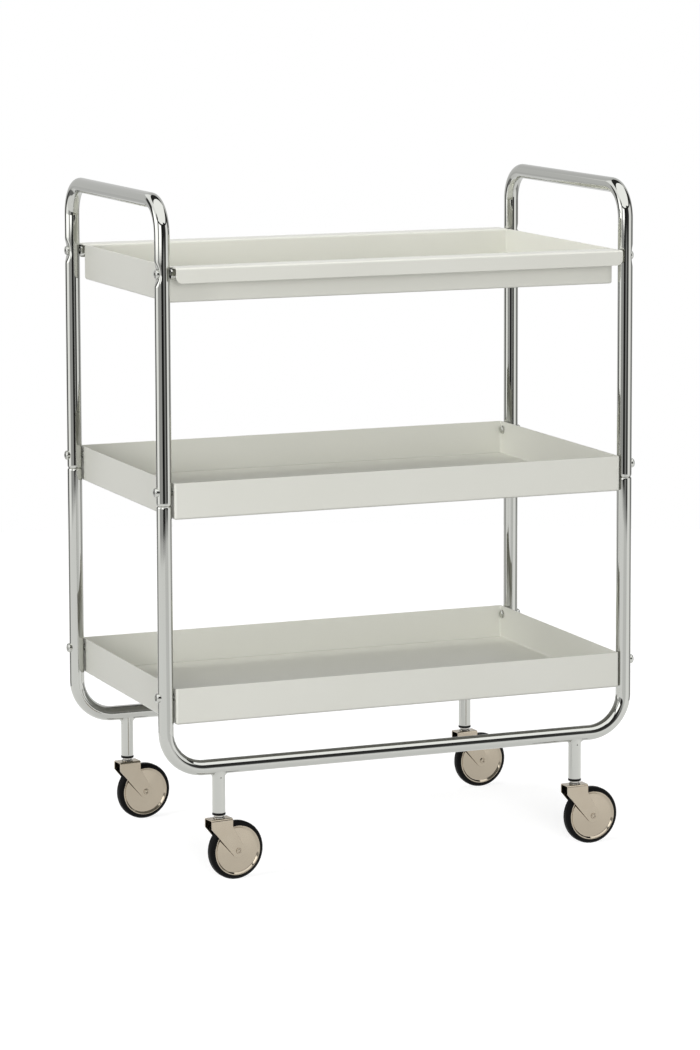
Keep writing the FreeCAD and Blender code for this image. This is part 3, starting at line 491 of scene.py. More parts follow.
def arc(centre, radius, start, end, steps=ROUND_STEPS):
    """Points on a circle about a centre, from one angle to another in degrees. Two radii make an ellipse."""
    across, along = radius if isinstance(radius, tuple) else (radius, radius)
    angles = [math.radians(start + (end - start) * step / steps) for step in range(steps + 1)]
    return [(centre[0] + across * math.cos(a), centre[1] + along * math.sin(a)) for a in angles]


def around(count):
    """Angles of evenly spaced points on a circle."""
    return [2 * math.pi * index / count for index in range(count)]


def ring(matrix, radius, height, count=TURNED_SIDES):
    """A circle about the matrix's own Z axis."""
    return [matrix @ Vector((radius * math.cos(a), radius * math.sin(a), height)) for a in around(count)]


def hexagon(matrix, flat, height, limit=math.inf):
    """A hexagon about the matrix's own Z axis, given by its distance to a flat. Its points end at a limit."""
    sixth = math.pi / 3
    points = []
    for a in around(HEX_SIDES):
        reach = min(limit, flat / math.cos((a % sixth) - sixth / 2))
        points.append(matrix @ Vector((reach * math.cos(a), reach * math.sin(a), height)))
    return points


def loft(bm, rings, closed=False, leave=()):
    """Quads between rings of equal count, less some cells. UVs: share of a turn across, metres along."""
    uv = bm.loops.layers.uv.verify()
    loops = [[bm.verts.new(point) for point in points] for points in rings]
    count = len(loops[0])
    rows = list(zip(loops, loops[1:]))
    if closed:
        rows.append((loops[-1], loops[0]))
    reach = 0.0
    for row, (near, far) in enumerate(rows):
        step = (far[0].co - near[0].co).length
        for index in range(count):
            if (row, index) in leave:
                continue
            following = (index + 1) % count
            face = bm.faces.new((near[index], near[following], far[following], far[index]))
            places = ((index, reach), (index + 1, reach), (index + 1, reach + step), (index, reach + step))
            for corner, (across, along) in zip(face.loops, places):
                corner[uv].uv = (across / count, along)
        reach += step
    return loops


def turned(bm, matrix, profile, closed=False, count=TURNED_SIDES):
    """Turns a profile of (radius, height) points about the matrix's own Z axis."""
    return loft(bm, [ring(matrix, radius, height, count) for radius, height in profile], closed)


def add_piece(context, bm, node, body, maker, solid=True):
    """Makes a finished object of the mesh, which stands for a CAD node on that node's body."""
    bmesh.ops.remove_doubles(bm, verts=bm.verts, dist=MERGE)
    bmesh.ops.dissolve_degenerate(bm, edges=bm.edges, dist=MERGE)
    if solid:
        bmesh.ops.recalc_face_normals(bm, faces=bm.faces)
    process, slot = PROCESSES[maker]
    name = f"{node}.{process}"
    mesh = bpy.data.meshes.new(name)
    bm.to_mesh(mesh)
    bm.free()
    mesh.shade_smooth()
    if solid:
        mesh.set_sharp_from_angle(angle=SHARP_EDGE)
    mesh.materials.append(finish(maker, context))
    piece = bpy.data.objects.new(name, mesh)
    context.scene.collection.objects.link(piece)
    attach(piece, body)
    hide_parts(node)
    return piece


def flatten(piece):
    """Keeps flat faces looking flat beside their folds."""
    piece.modifiers.new("Flat faces", "WEIGHTED_NORMAL").keep_sharp = True


def outward(side):
    """Turns the Z axis to the left (side -1) or to the right (side 1)."""
    return Matrix.Rotation(side * math.pi / 2, 4, "Y")


def at_corners(height):
    """A matrix for each corner post at a height, with its Z axis pointing away from the shelf along X."""
    return [
        Matrix.Translation((side_x * POST_X, side_y * POST_Y, height)) @ outward(side_x)
        for side_y in (-1, 1) for side_x in (-1, 1)
    ]


def smooth_min(first, second, blend):
    """The lesser of two lengths, rounded off where they cross."""
    near = max(blend - abs(first - second), 0.0) / blend
    return min(first, second) - near * near * blend / 4


def u_stations(half, crown, bend, leg):
    """Stations along a U of tube: place, outward normal and radius, from one foot to the other.

    The leg lists heights and radii from the foot to the start of the bend.
    """
    rise = 1 if crown > leg[0][0] else -1
    first = [(-half, height, -1.0, 0.0, radius) for height, radius in leg]
    first.append((-half, crown - rise * (bend + GUARD), -1.0, 0.0, TUBE_R))
    for along, up in arc((0, 0), 1.0, 180, 90, BEND_STEPS):
        first.append((bend - half + bend * along, crown + rise * bend * (up - 1), along, rise * up, TUBE_R))
    first.append((bend - half + GUARD, crown, 0.0, rise, TUBE_R))
    second = [(-u, z, -normal_u, normal_z, radius) for u, z, normal_u, normal_z, radius in reversed(first)]
    return first + second


def tube_rings(stations, along, origin, depth):
    """Rings about a tube's stations in the plane of along and Z: its skin, or its bore at a depth."""
    across = Vector((along.y, along.x, 0))
    rings = []
    for u, z, normal_u, normal_z, radius in stations:
        centre = origin + along * u + Vector((0, 0, z))
        normal = along * normal_u + Vector((0, 0, normal_z))
        reach = TUBE_R - depth if depth else radius
        rings.append([
            centre + reach * (normal * math.cos(a) + across * math.sin(a)) for a in around(TUBE_SIDES)])
    return rings


def rounded_foot(tube, foot, rise):
    """Heights and radii of a tube's drawn-in cut end, and a ring past it from which the tube is straight."""
    quarter = arc((0, 0), (tube.end_length, tube.end_depth), 0, 90)
    leg = [(foot + rise * (tube.end_length - x), TUBE_R - tube.end_depth + y) for x, y in quarter]
    return leg + [(foot + rise * (tube.end_length + GUARD), TUBE_R)]


def press_radius(tube):
    """Radius of the round tool that presses a dimple."""
    return (tube.dimple_height ** 2 / 4 + tube.dimple_depth ** 2) / (2 * tube.dimple_depth)


def add_bent_tube(context, node, stations, along, origin, press=None):
    """Makes a bent tube with its bore. A press moves its points, told how deep in the wall they lie."""
    skins = []
    for depth in (0.0, context.scene.rolling_shelf.tube.wall):
        rings = tube_rings(stations, along, origin, depth)
        skins.append([[press(point, depth) for point in points] for points in rings] if press else rings)
    bm = bmesh.new()
    loft(bm, skins[0] + skins[1][::-1], closed=True)
    add_piece(context, bm, node, "frame", chrome_plate_buffed_tube)


class ROLLINGSHELF_OT_handle_hoops(Operator):
    """Bend the two handle hoops, with a dimple pressed under each peg bolt's head"""
    bl_idname = "rolling_shelf.handle_hoops"
    bl_label = "Handle hoops"

    def execute(self, context):
        tube = context.scene.rolling_shelf.tube
        leg = rounded_foot(tube, HOOP_FOOT, 1)
        leg += [(PEG_Z + (row - DIMPLE_ROWS / 2) * tube.dimple_row, TUBE_R) for row in range(DIMPLE_ROWS + 1)]
        stations = u_stations(POST_Y, HANDLE_Z, tube.handle_bend, leg)
        for label, side in (("left", -1), ("right", 1)):
            add_bent_tube(
                context, f"{label}_handle_hoop", stations, Vector((0, 1, 0)), Vector((side * POST_X, 0, 0)),
                lambda point, depth: self.pressed(tube, side, point, depth))
        return {"FINISHED"}

    def pressed(self, tube, side, point, depth):
        """A point of the tube, pushed in where the dimple is."""
        rise, press = point.z - PEG_Z, press_radius(tube)
        if abs(rise) >= press or point.z > HANDLE_Z - tube.handle_bend:
            return point
        floor = TUBE_R - tube.dimple_depth - depth + press - math.sqrt(press ** 2 - rise ** 2)
        out = (point.x - side * POST_X) * side
        return Vector((side * (POST_X + smooth_min(out, floor, tube.dimple_blend)), point.y, point.z))


class ROLLINGSHELF_OT_lower_frames(Operator):
    """Bend the front and rear lower frames"""
    bl_idname = "rolling_shelf.lower_frames"
    bl_label = "Lower frames"

    def execute(self, context):
        tube = context.scene.rolling_shelf.tube
        stations = u_stations(POST_X, RAIL_Z, tube.rail_bend, rounded_foot(tube, LOWER_TOP, -1))
        for label, side in (("front", -1), ("rear", 1)):
            add_bent_tube(
                context, f"{label}_lower_frame", stations, Vector((1, 0, 0)), Vector((0, side * POST_Y, 0)))
        return {"FINISHED"}


class ROLLINGSHELF_OT_caster_stubs(Operator):
    """Build the stub tubes with their welds and plating vents"""
    bl_idname = "rolling_shelf.caster_stubs"
    bl_label = "Caster stubs"

    def execute(self, context):
        tube = context.scene.rolling_shelf.tube
        bm = bmesh.new()
        for side_y in (-1, 1):
            for side_x in (-1, 1):
                spot = Matrix.Translation((side_x * STUB_X, side_y * POST_Y, 0))
                self.stub(bm, tube, spot @ Matrix.Rotation((side_y + 1) * math.pi / 2, 4, "Z"))
        add_piece(context, bm, "caster_stub_tubes", "frame", chrome_plate_buffed_tube)
        return {"FINISHED"}

    def stub(self, bm, tube, matrix):
        """One stub: straight side, rolling-ball weld against the rail, and its bore. The vent faces -Y."""
        radius, bore = tube.stub_radius, tube.stub_radius - tube.stub_wall
        ball, rail = radius + tube.weld, TUBE_R + tube.weld
        base = RAIL_Z - tube.weld_rows
        turns = around(TUBE_SIDES)
        centres = []
        for a in turns:
            y = ball * math.sin(a)
            centres.append(Vector((ball * math.cos(a), y, RAIL_Z - math.sqrt(rail ** 2 - y ** 2))))

        def side_ring(share):
            """Ring on the straight side, a share of the way from its first row to the start of the weld."""
            return [
                matrix @ Vector((radius * math.cos(a), radius * math.sin(a), base + share * (c.z - base)))
                for a, c in zip(turns, centres)
            ]

        def weld_ring(share):
            """Ring on the weld, a share of the way from the stub to the rail."""
            points = []
            for a, c in zip(turns, centres):
                to_stub = Vector((-math.cos(a), -math.sin(a), 0))
                to_rail = Vector((0, -c.y, RAIL_Z - c.z)).normalized()
                points.append(matrix @ (c + tube.weld * to_stub.slerp(to_rail, share)))
            return points

        def sunk_ring(reach, sink):
            """Ring below the rail's skin at a reach from the stub's axis."""
            depth = TUBE_R - sink
            return [
                matrix @ Vector((reach * math.cos(a), reach * math.sin(a),
                                 RAIL_Z - math.sqrt(depth ** 2 - (reach * math.sin(a)) ** 2)))
                for a in turns
            ]

        foot = arc((radius - tube.weld_sink, STUB_BASE + tube.weld_sink), tube.weld_sink, -90, 0, EDGE_STEPS)
        foot.append((radius, foot[-1][1] + GUARD))
        rings = [ring(matrix, reach, height, TUBE_SIDES) for reach, height in foot]
        first = len(rings)
        rings += [side_ring(step / STUB_ROWS) for step in range(STUB_ROWS + 1)]
        rings += [weld_ring(step / ROUND_STEPS) for step in range(1, ROUND_STEPS + 1)]
        rings += [sunk_ring(radius, tube.weld_sink), sunk_ring(bore, tube.weld_sink)]
        rings.append(ring(matrix, bore, STUB_BASE, TUBE_SIDES))
        block = {(first + row, column) for row in VENT_ROWS for column in VENT_COLUMNS}
        loops = loft(bm, rings, closed=True, leave=block)
        low, high = first + VENT_ROWS.start, first + VENT_ROWS.stop
        left, right = VENT_COLUMNS.start, VENT_COLUMNS.stop
        border = [loops[low][column] for column in range(left, right)]
        border += [loops[row][right] for row in range(low, high)]
        border += [loops[high][column] for column in range(right, left, -1)]
        border += [loops[row][left] for row in range(high, low, -1)]
        self.vent(bm, tube, matrix, border)

    def vent(self, bm, tube, matrix, border):
        """A blind round hole inside a border of vertices."""
        centre_z = RAIL_Z - tube.vent_drop
        back = matrix.inverted()
        mouth, bottom = [], []
        for vertex in border:
            place = back @ vertex.co
            turn = math.atan2(place.z - centre_z, place.x)
            x, z = tube.vent_radius * math.cos(turn), centre_z + tube.vent_radius * math.sin(turn)
            y = -math.sqrt(tube.stub_radius ** 2 - x ** 2)
            mouth.append(bm.verts.new(matrix @ Vector((x, y, z))))
            bottom.append(bm.verts.new(matrix @ Vector((x, y + tube.vent_depth, z))))
        for near, far in ((border, mouth), (mouth, bottom)):
            for index in range(len(near)):
                following = (index + 1) % len(near)
                bm.faces.new((near[index], near[following], far[following], far[index]))
        bm.faces.new(bottom)


def rounded_rectangle(half_x, half_y, radius, height, relief, dip):
    """Points round a rectangle from its front left corner. A dip keeps its long sides lower."""
    points = []
    for side_x, side_y, start in ((-1, -1, 180), (1, -1, 270), (1, 1, 0), (-1, 1, 90)):
        centre = (side_x * (half_x - radius), side_y * (half_y - radius))
        corner = [Vector((x, y, height)) for x, y in arc(centre, radius, start, start + 90)]
        beside = Vector((side_x * (half_x - radius - relief), side_y * half_y, min(height, dip)))
        points += corner + [beside] if side_x == side_y else [beside] + corner
    return points


def folded_basin(bm, sheet, half_x, half_y, base, rim, dip=math.inf):
    """A folded box of sheet: its outside, its soft cut edge and its inside, from floor to floor."""
    fold, edge, hollow = sheet.fold, sheet.edge, sheet.thickness - sheet.edge
    section = [(fold - x, base + fold + z) for x, z in arc((0, 0), fold, -90, 0)]
    section += [(edge - x, rim - edge + z) for x, z in arc((0, 0), edge, 0, 90, EDGE_STEPS)]
    section += [(hollow - x, rim - edge + z) for x, z in arc((0, 0), edge, 90, 180, EDGE_STEPS)]
    section += [(fold - x, base + fold + z) for x, z in arc((0, 0), fold - sheet.thickness, 0, -90)]
    loops = loft(bm, [
        rounded_rectangle(half_x - inset, half_y - inset, fold - inset, height, sheet.relief, dip)
        for inset, height in section])
    bm.faces.new(loops[0][::-1])
    bm.faces.new(loops[-1])


class ROLLINGSHELF_OT_shelves(Operator):
    """Fold the middle and bottom shelves"""
    bl_idname = "rolling_shelf.shelves"
    bl_label = "Shelves"

    def execute(self, context):
        sheet = context.scene.rolling_shelf.sheet
        for node in ("middle_shelf", "bottom_shelf"):
            bm = bmesh.new()
            low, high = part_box(node)
            folded_basin(bm, sheet, high[0], high[1], low[2], high[2])
            flatten(add_piece(context, bm, node, "frame", powder_coat_semi_gloss))
        return {"FINISHED"}


class ROLLINGSHELF_OT_serving_tray(Operator):
    """Fold the serving tray, with a hooked flange along each long side"""
    bl_idname = "rolling_shelf.serving_tray"
    bl_label = "Serving tray"

    def execute(self, context):
        sheet = context.scene.rolling_shelf.sheet
        bm = bmesh.new()
        low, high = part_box("serving_tray")
        half_y, seam = POST_Y - sheet.hook_inner, high[2] - sheet.fold - sheet.seam
        folded_basin(bm, sheet, high[0], half_y, low[2], high[2], seam)
        rows = self.hook_rows(sheet, high, half_y, seam)
        for side in (-1, 1):
            self.hook(bm, sheet, rows, side)
        flatten(add_piece(context, bm, "serving_tray", "serving_tray", powder_coat_semi_gloss))
        return {"FINISHED"}

    def hook_rows(self, sheet, high, half_y, seam):
        """Rows along a hook from wall to lip: place, normal, half length and thinning at the edge."""
        half_x, span, rim = high
        bend, level = sheet.fold - sheet.thickness / 2, rim - sheet.fold
        near, far = half_y - sheet.thickness + sheet.fold, span - sheet.fold
        taper = sheet.fold + sheet.relief
        rows = [(near - bend, seam, -1.0, 0.0, half_x - taper, 0.0)]
        for along, up in arc((0, 0), 1.0, 180, 90):
            rows.append((near + bend * along, level + bend * up, along, up, half_x + taper * along, 0.0))
        for along, up in arc((0, 0), 1.0, 90, 0):
            rows.append((far + bend * along, level + bend * up, along, up, half_x, 0.0))
        foot = rim - sheet.lip_drop
        for along, down in arc((0, 0), sheet.lip_end, 0, 90, 2 * ROUND_STEPS):
            height = sheet.lip_end - down
            thin = sheet.edge - math.sqrt(sheet.edge ** 2 - max(sheet.edge - height, 0.0) ** 2)
            rows.append((far + bend, foot + height, 1.0, 0.0, half_x - sheet.lip_end + along, thin))
        return rows

    def hook(self, bm, sheet, rows, side):
        """One hooked flange: both faces of its rows, its soft ends and the caps on them."""
        quarter = arc((0, 0), sheet.edge, 90, 0, EDGE_STEPS)
        ends = [(-1, sheet.edge - along, sheet.edge - up) for along, up in reversed(quarter)]
        ends += [(1, sheet.edge - along, sheet.edge - up) for along, up in quarter]
        rings = []
        for side_x, short, thinner in ends:
            faces = []
            for face in (1, -1):
                for y, z, normal_y, normal_z, half, thin in rows[::face]:
                    reach = face * (sheet.thickness / 2 - max(thin, thinner))
                    out, up = side * (y + reach * normal_y), z + reach * normal_z
                    faces.append(Vector((side_x * (half - short), out, up)))
            rings.append(faces)
        loops = loft(bm, rings)
        for loop in (loops[0], loops[-1]):
            for index in range(len(rows) - 1):
                bm.faces.new((loop[index], loop[index + 1], loop[-2 - index], loop[-1 - index]))


def dome(radius, base, height):
    """Profile of a dome over its base, from its rim to its crown."""
    return arc((0, base), (radius, height), 0, 90)


def socket_head(bm, fastener, matrix, profile, seat):
    """A bolt: a profile from tail to seat, then a head with a round shoulder and a hexagon socket."""
    top = seat + fastener.head_height
    shoulder = (fastener.head - fastener.head_round, top - fastener.head_round)
    outline = profile + [(fastener.head, seat)] + arc(shoulder, fastener.head_round, 0, 90)
    rings = [ring(matrix, radius, height, HEX_SIDES) for radius, height in outline]
    bottom = top - fastener.socket_depth
    rings += [hexagon(matrix, fastener.socket, height) for height in (top, bottom)]
    rings.append(ring(matrix, 0.0, bottom, HEX_SIDES))
    loft(bm, rings)


class ROLLINGSHELF_OT_shelf_fasteners(Operator):
    """Turn the bolts, washers and domed nuts of the two bolted shelves"""
    bl_idname = "rolling_shelf.shelf_fasteners"
    bl_label = "Shelf fasteners"

    def execute(self, context):
        settings = context.scene.rolling_shelf
        fastener, sheet = settings.fastener, settings.sheet
        wall = -(TUBE_R + fastener.washer_thickness)
        face = wall - sheet.thickness
        tail = face - fastener.nut_height / 2
        # The head's skirt runs down to where the round post meets the head's edge
        sunk = math.sqrt(TUBE_R ** 2 - fastener.head ** 2) - OVERLAP
        for tier in ("middle", "bottom"):
            spots = at_corners(middle(f"{tier}_shelf_bolts").z)
            bolts, washers, nuts = bmesh.new(), bmesh.new(), bmesh.new()
            for spot in spots:
                shank = [(0.0, tail), (fastener.shank, tail), (fastener.shank, sunk), (fastener.head, sunk)]
                socket_head(bolts, fastener, spot, shank, TUBE_R)
                turned(washers, spot, [
                    (fastener.washer_bore, wall), (fastener.washer, wall),
                    (fastener.washer, -TUBE_R), (fastener.washer_bore, -TUBE_R)], closed=True)
                side = face - fastener.nut_side
                cap = dome(fastener.nut, side, fastener.nut_side - fastener.nut_height)
                turned(nuts, spot, [(0.0, face), (fastener.nut, face)] + cap)
            for kind, bm in (("bolts", bolts), ("washers", washers), ("nuts", nuts)):
                add_piece(context, bm, f"{tier}_shelf_{kind}", "frame", chrome_plate_turned)
        return {"FINISHED"}


class ROLLINGSHELF_OT_tray_pegs(Operator):
    """Turn the peg bolts and the hexagonal cap nuts that carry the tray"""
    bl_idname = "rolling_shelf.tray_pegs"
    bl_label = "Tray pegs"

    def execute(self, context):
        settings = context.scene.rolling_shelf
        fastener, tube = settings.fastener, settings.tube
        press = press_radius(tube)
        hollow = press - math.sqrt(press ** 2 - fastener.head ** 2)
        bed = TUBE_R - tube.dimple_depth
        bolts, nuts = bmesh.new(), bmesh.new()
        end = -(TUBE_R + fastener.peg_hex)
        point = fastener.peg_flat / math.cos(math.pi / 6)
        for spot in at_corners(PEG_Z):
            shank = [(0.0, end), (fastener.shank, end), (fastener.shank, bed), (fastener.head, bed)]
            socket_head(bolts, fastener, spot, shank, bed + hollow)
            cut = point - fastener.peg_chamfer
            rings = [ring(spot, 0.0, -TUBE_R, HEX_SIDES)]
            rings += [hexagon(spot, fastener.peg_flat, -TUBE_R, cut)]
            rings += [hexagon(spot, fastener.peg_flat, height) for height in (
                -TUBE_R - fastener.peg_chamfer, end + fastener.peg_chamfer)]
            rings += [hexagon(spot, fastener.peg_flat, end, cut)]
            cap = dome(fastener.peg_dome, end, -fastener.peg_dome_height)
            rings += [ring(spot, radius, height, HEX_SIDES) for radius, height in cap]
            loft(nuts, rings)
        add_piece(context, bolts, "tray_peg_bolts", "frame", chrome_plate_turned)
        add_piece(context, nuts, "tray_peg_cap_nuts", "frame", chrome_plate_turned)
        return {"FINISHED"}


def caster_frame(corner):
    """Matrix of a caster, its origin on the floor under the stem and X towards the axle, and its trail."""
    stem = Vector(JOINTS[f"{corner}_swivel"]["pos_m"])
    axle = Vector(JOINTS[f"{corner}_roll"]["pos_m"])
    reach = (axle - stem).to_2d()
    turn = Matrix.Rotation(math.atan2(reach.y, reach.x), 4, "Z")
    return Matrix.Translation((stem.x, stem.y, 0)) @ turn, reach.length


def axle_frame(corner):
    """Matrix of a wheel: origin at its centre, Z along its axle towards the front."""
    base, trail = caster_frame(corner)
    return base @ Matrix.Translation((trail, 0, WHEEL_R)) @ Matrix.Rotation(math.pi / 2, 4, "X")


class ROLLINGSHELF_OT_casters(Operator):
    """Build each caster's socket, stem, fork and axle"""
    bl_idname = "rolling_shelf.casters"
    bl_label = "Casters"

    def execute(self, context):
        caster = context.scene.rolling_shelf.caster
        for corner in CORNERS:
            base, trail = caster_frame(corner)
            self.socket(context, caster, corner, base)
            self.stem(context, caster, corner, base)
            self.fork(context, caster, corner, base, trail)
            self.axle(context, caster, corner)
        return {"FINISHED"}

    def socket(self, context, caster, corner, base):
        """Plastic sleeve inside the stub with a flange below it."""
        bm = bmesh.new()
        low, edge = STUB_BASE - caster.flange_height, caster.flange_edge
        rim = caster.flange - edge
        profile = [(caster.bore, low)]
        profile += arc((rim, low + edge), edge, -90, 0) + arc((rim, STUB_BASE - edge), edge, 0, 90)
        top = caster.sleeve_top
        profile += [(caster.sleeve, STUB_BASE), (caster.sleeve, top), (caster.bore, top)]
        turned(bm, base, profile, closed=True)
        add_piece(context, bm, f"{corner}_stem_socket", "frame", nylon_moulded)

    def stem(self, context, caster, corner, base):
        """Stem with its rivet head under the fork, and its neck: a bead below a straight waist."""
        bm = bmesh.new()
        plate, edge = FORK_TOP - caster.fork_sheet, caster.neck_edge
        rim, neck_top = caster.neck - edge, FORK_TOP + caster.neck_height
        profile = [(0.0, plate - caster.rivet_height), (caster.rivet, plate - caster.rivet_height)]
        profile += [(caster.rivet, plate), (caster.stem, plate), (caster.stem, FORK_TOP)]
        profile += arc((rim, FORK_TOP + edge), edge, -90, 60)
        profile += [(caster.neck_waist, FORK_TOP + 3 * edge), (caster.neck_waist, neck_top)]
        profile += [(caster.stem, neck_top), (caster.stem, caster.stem_top), (0.0, caster.stem_top)]
        turned(bm, base, profile)
        add_piece(context, bm, f"{corner}_stem", f"{corner}_caster", zinc_plate_turned)

    def fork(self, context, caster, corner, base, trail):
        """Inverted U of sheet whose cheeks run back from the stem to the axle."""
        bm = bmesh.new()
        front, back = -caster.fork_length / 2, caster.fork_length / 2
        half, fold, skirt = caster.fork_half, caster.fork_bend, FORK_TOP - caster.fork_skirt
        over = arc((half - fold, FORK_TOP - fold), fold, 0, 90)
        over += arc((fold - half, FORK_TOP - fold), fold, 90, 180)
        fronts = [bm.verts.new(base @ Vector((front, y, z))) for y, z in over]
        backs = [bm.verts.new(base @ Vector((back, y, z))) for y, z in over]
        for index in range(len(over) - 1):
            following = index + 1
            bm.faces.new((fronts[index], fronts[following], backs[following], backs[index]))

        def touch(corner_x, side):
            """Angle at which a line from a skirt's corner touches the cheek's round end."""
            away = Vector((corner_x - trail, skirt - WHEEL_R))
            return math.degrees(math.atan2(away.y, away.x) + side * math.acos(caster.fork_end / away.length))

        start, end = touch(back, -1) + 360, touch(front, 1)
        outline = [(back, skirt)]
        outline += arc((trail, WHEEL_R), caster.fork_end, start, end, 2 * BEND_STEPS)
        outline += [(front, skirt)]
        for y, near, far in ((half, fronts[0], backs[0]), (-half, fronts[-1], backs[-1])):
            edge = [near, far] + [bm.verts.new(base @ Vector((x, y, z))) for x, z in outline]
            bm.faces.new(edge if y > 0 else edge[::-1])
        body = f"{corner}_caster"
        piece = add_piece(context, bm, f"{corner}_fork", body, nickel_plate_satin_pressed, solid=False)
        sheet = piece.modifiers.new("Sheet", "SOLIDIFY")
        sheet.thickness = caster.fork_sheet
        sheet.offset = -1.0
        sheet.use_even_offset = True
        soft = piece.modifiers.new("Cut edges", "BEVEL")
        soft.width = caster.fork_edge
        soft.segments = SOFT_STEPS
        soft.limit_method = "ANGLE"
        soft.angle_limit = SOFT_EDGE
        soft.use_clamp_overlap = False
        flatten(piece)

    def axle(self, context, caster, corner):
        """Tubular axle rivet, rolled over at each end around a shallow hollow."""
        bm = bmesh.new()
        near, height = caster.fork_half, caster.axle_head_height
        roll = (caster.axle_head - caster.axle_hollow) / 2
        end = [(caster.axle, near), (caster.axle_head, near)]
        end += arc((caster.axle_head - roll, near), (roll, height), 0, 180, 2 * ROUND_STEPS)
        floor = near + height / 4
        end[-1] = (caster.axle_hollow, floor)
        end.append((0.0, floor))
        turned(bm, axle_frame(corner), [(radius, -along) for radius, along in reversed(end)] + end)
        add_piece(context, bm, f"{corner}_axle", f"{corner}_caster", nickel_plate_satin_spun)


class ROLLINGSHELF_OT_wheels(Operator):
    """Build each wheel's tyre and cover discs"""
    bl_idname = "rolling_shelf.wheels"
    bl_label = "Wheels"

    def execute(self, context):
        wheel = context.scene.rolling_shelf.wheel
        for corner in CORNERS:
            matrix = axle_frame(corner)
            bm = bmesh.new()
            turned(bm, matrix, self.tyre_profile(wheel), closed=True, count=WHEEL_SIDES)
            add_piece(context, bm, f"{corner}_tyre", f"{corner}_wheel", rubber_moulded)
            bm = bmesh.new()
            for side in (1, -1):
                profile = [(radius, side * height) for radius, height in self.cover_profile(wheel)]
                turned(bm, matrix, profile, closed=True, count=WHEEL_SIDES)
            add_piece(context, bm, f"{corner}_wheel_covers", f"{corner}_wheel", nickel_plate_satin_spun)
        return {"FINISHED"}

    def tyre_profile(self, wheel):
        """Section of the tyre, round its whole outline."""
        half, round_, edge = wheel.half_width, wheel.shoulder, wheel.wall_edge
        tread = WHEEL_R - round_
        near = [(wheel.bed, wheel.flank), (wheel.wall_radius, wheel.flank)]
        near += arc((wheel.wall_radius + edge, half - edge), edge, 180, 90, EDGE_STEPS)
        near += arc((tread, half - round_), round_, 90, 0, 2 * ROUND_STEPS)
        return near + [(radius, -height) for radius, height in reversed(near)]

    def cover_profile(self, wheel):
        """Section of a cover disc: rolled rim, steep flank, hollow flare, coned face, and its back."""
        bead, flare = wheel.cover_bead, wheel.cover_flare
        slope, cone = math.degrees(wheel.cover_turn), math.degrees(wheel.cover_cone)
        crown = (wheel.cover - bead, wheel.cover_rim - bead)
        rim = arc(crown, bead, 0, 90 + slope)
        sine, cosine = math.sin(wheel.cover_turn), math.cos(wheel.cover_turn)
        flank = (rim[-1][0] - wheel.cover_flank * cosine, rim[-1][1] - wheel.cover_flank * sine)
        foot = arc((flank[0] - flare * sine, flank[1] + flare * cosine), flare, 270 + slope, 270 - cone)
        hub = (wheel.cover_hole, foot[-1][1] + (foot[-1][0] - wheel.cover_hole) * math.tan(wheel.cover_cone))
        front = rim + foot + [hub]
        return front + [(radius, height - wheel.cover_sheet) for radius, height in reversed(front)]


class ROLLINGSHELF_OT_inner_pieces(Operator):
    """Finish the pieces that stay inside the posts, stems and wheels"""
    bl_idname = "rolling_shelf.inner_pieces"
    bl_label = "Inner pieces"

    def execute(self, context):
        steel, nylon = finish(zinc_plate_turned, context), finish(nylon_moulded, context)
        inside = {"post_joint_spigots": steel}
        for corner in CORNERS:
            inside[f"{corner}_grip_ring"] = steel
            inside[f"{corner}_wheel_core"] = nylon
            inside[f"{corner}_hub_bush"] = nylon
        for node, material in inside.items():
            frame["nodes"][node].material_slots[0].material = material
        return {"FINISHED"}


# What the chrome mirrors around it: degrees to the right of the way to the camera, and how bright it is there
COVE = (
    (-180, 0.85), (-127, 0.80), (-123, 0.20), (-104, 0.20), (-98, 1.00), (0, 0.97), (8, 0.80), (45, 0.78),
    (58, 1.10), (94, 1.05), (99, 0.35), (127, 0.40), (131, 0.80), (180, 0.85),
)
LOWER = (
    (-180, 0.66), (-127, 0.60), (-123, 0.05), (-100, 0.10), (-96, 1.30), (-62, 1.20), (-57, 0.37),
    (-36, 0.46), (-18, 0.41), (-14, 0.005), (2, 0.005), (5, 0.06), (13, 0.06), (17, 0.38), (27, 0.38),
    (31, 0.07), (54, 0.07), (59, 1.25), (94, 1.00), (99, 0.24), (127, 0.22), (131, 0.60), (180, 0.66),
)
MIDDLE = (
    (-180, 0.72), (-127, 0.68), (-123, 0.05), (-100, 0.05), (-96, 2.00), (-56, 2.00), (-51, 0.25),
    (-40, 0.25), (-36, 2.00), (-10, 2.00), (-6, 0.01), (54, 0.05), (59, 1.25), (94, 1.00), (99, 0.12),
    (127, 0.12), (131, 0.68), (180, 0.72),
)
UPPER = (
    (-180, 0.66), (-150, 0.66), (-144, 1.20), (-64, 1.20), (-58, 0.02), (122, 0.02), (132, 0.66), (180, 0.66),
)
TOP = (
    (-180, 0.66), (-150, 0.66), (-144, 1.20), (-64, 1.20), (-58, 0.02), (-44, 0.02), (-40, 1.50), (20, 1.50),
    (25, 0.02), (122, 0.02), (132, 0.66), (180, 0.66),
)
# Heights in metres at which those levels hold. Between two heights one runs into the other.
SURROUND = (
    (0.0, COVE), (0.02, COVE), (0.09, LOWER), (0.56, LOWER), (0.6, MIDDLE), (1.72, MIDDLE), (1.78, UPPER),
    (1.98, UPPER), (2.02, TOP), (3.3, TOP),
)
# Soft round lamps: where each hangs, its diameter in metres and its power in watts
LAMPS = {
    "key_softbox": ((-0.7, -4.2, 1.4), 1.6, 54),
    "low_softbox": ((-0.9, -4.2, 0.45), 1.4, 37),
    "left_softbox": ((-4.0, -1.0, 1.5), 1.4, 82),
    "top_softbox": ((0.0, 0.3, 3.6), 1.2, 50),
}


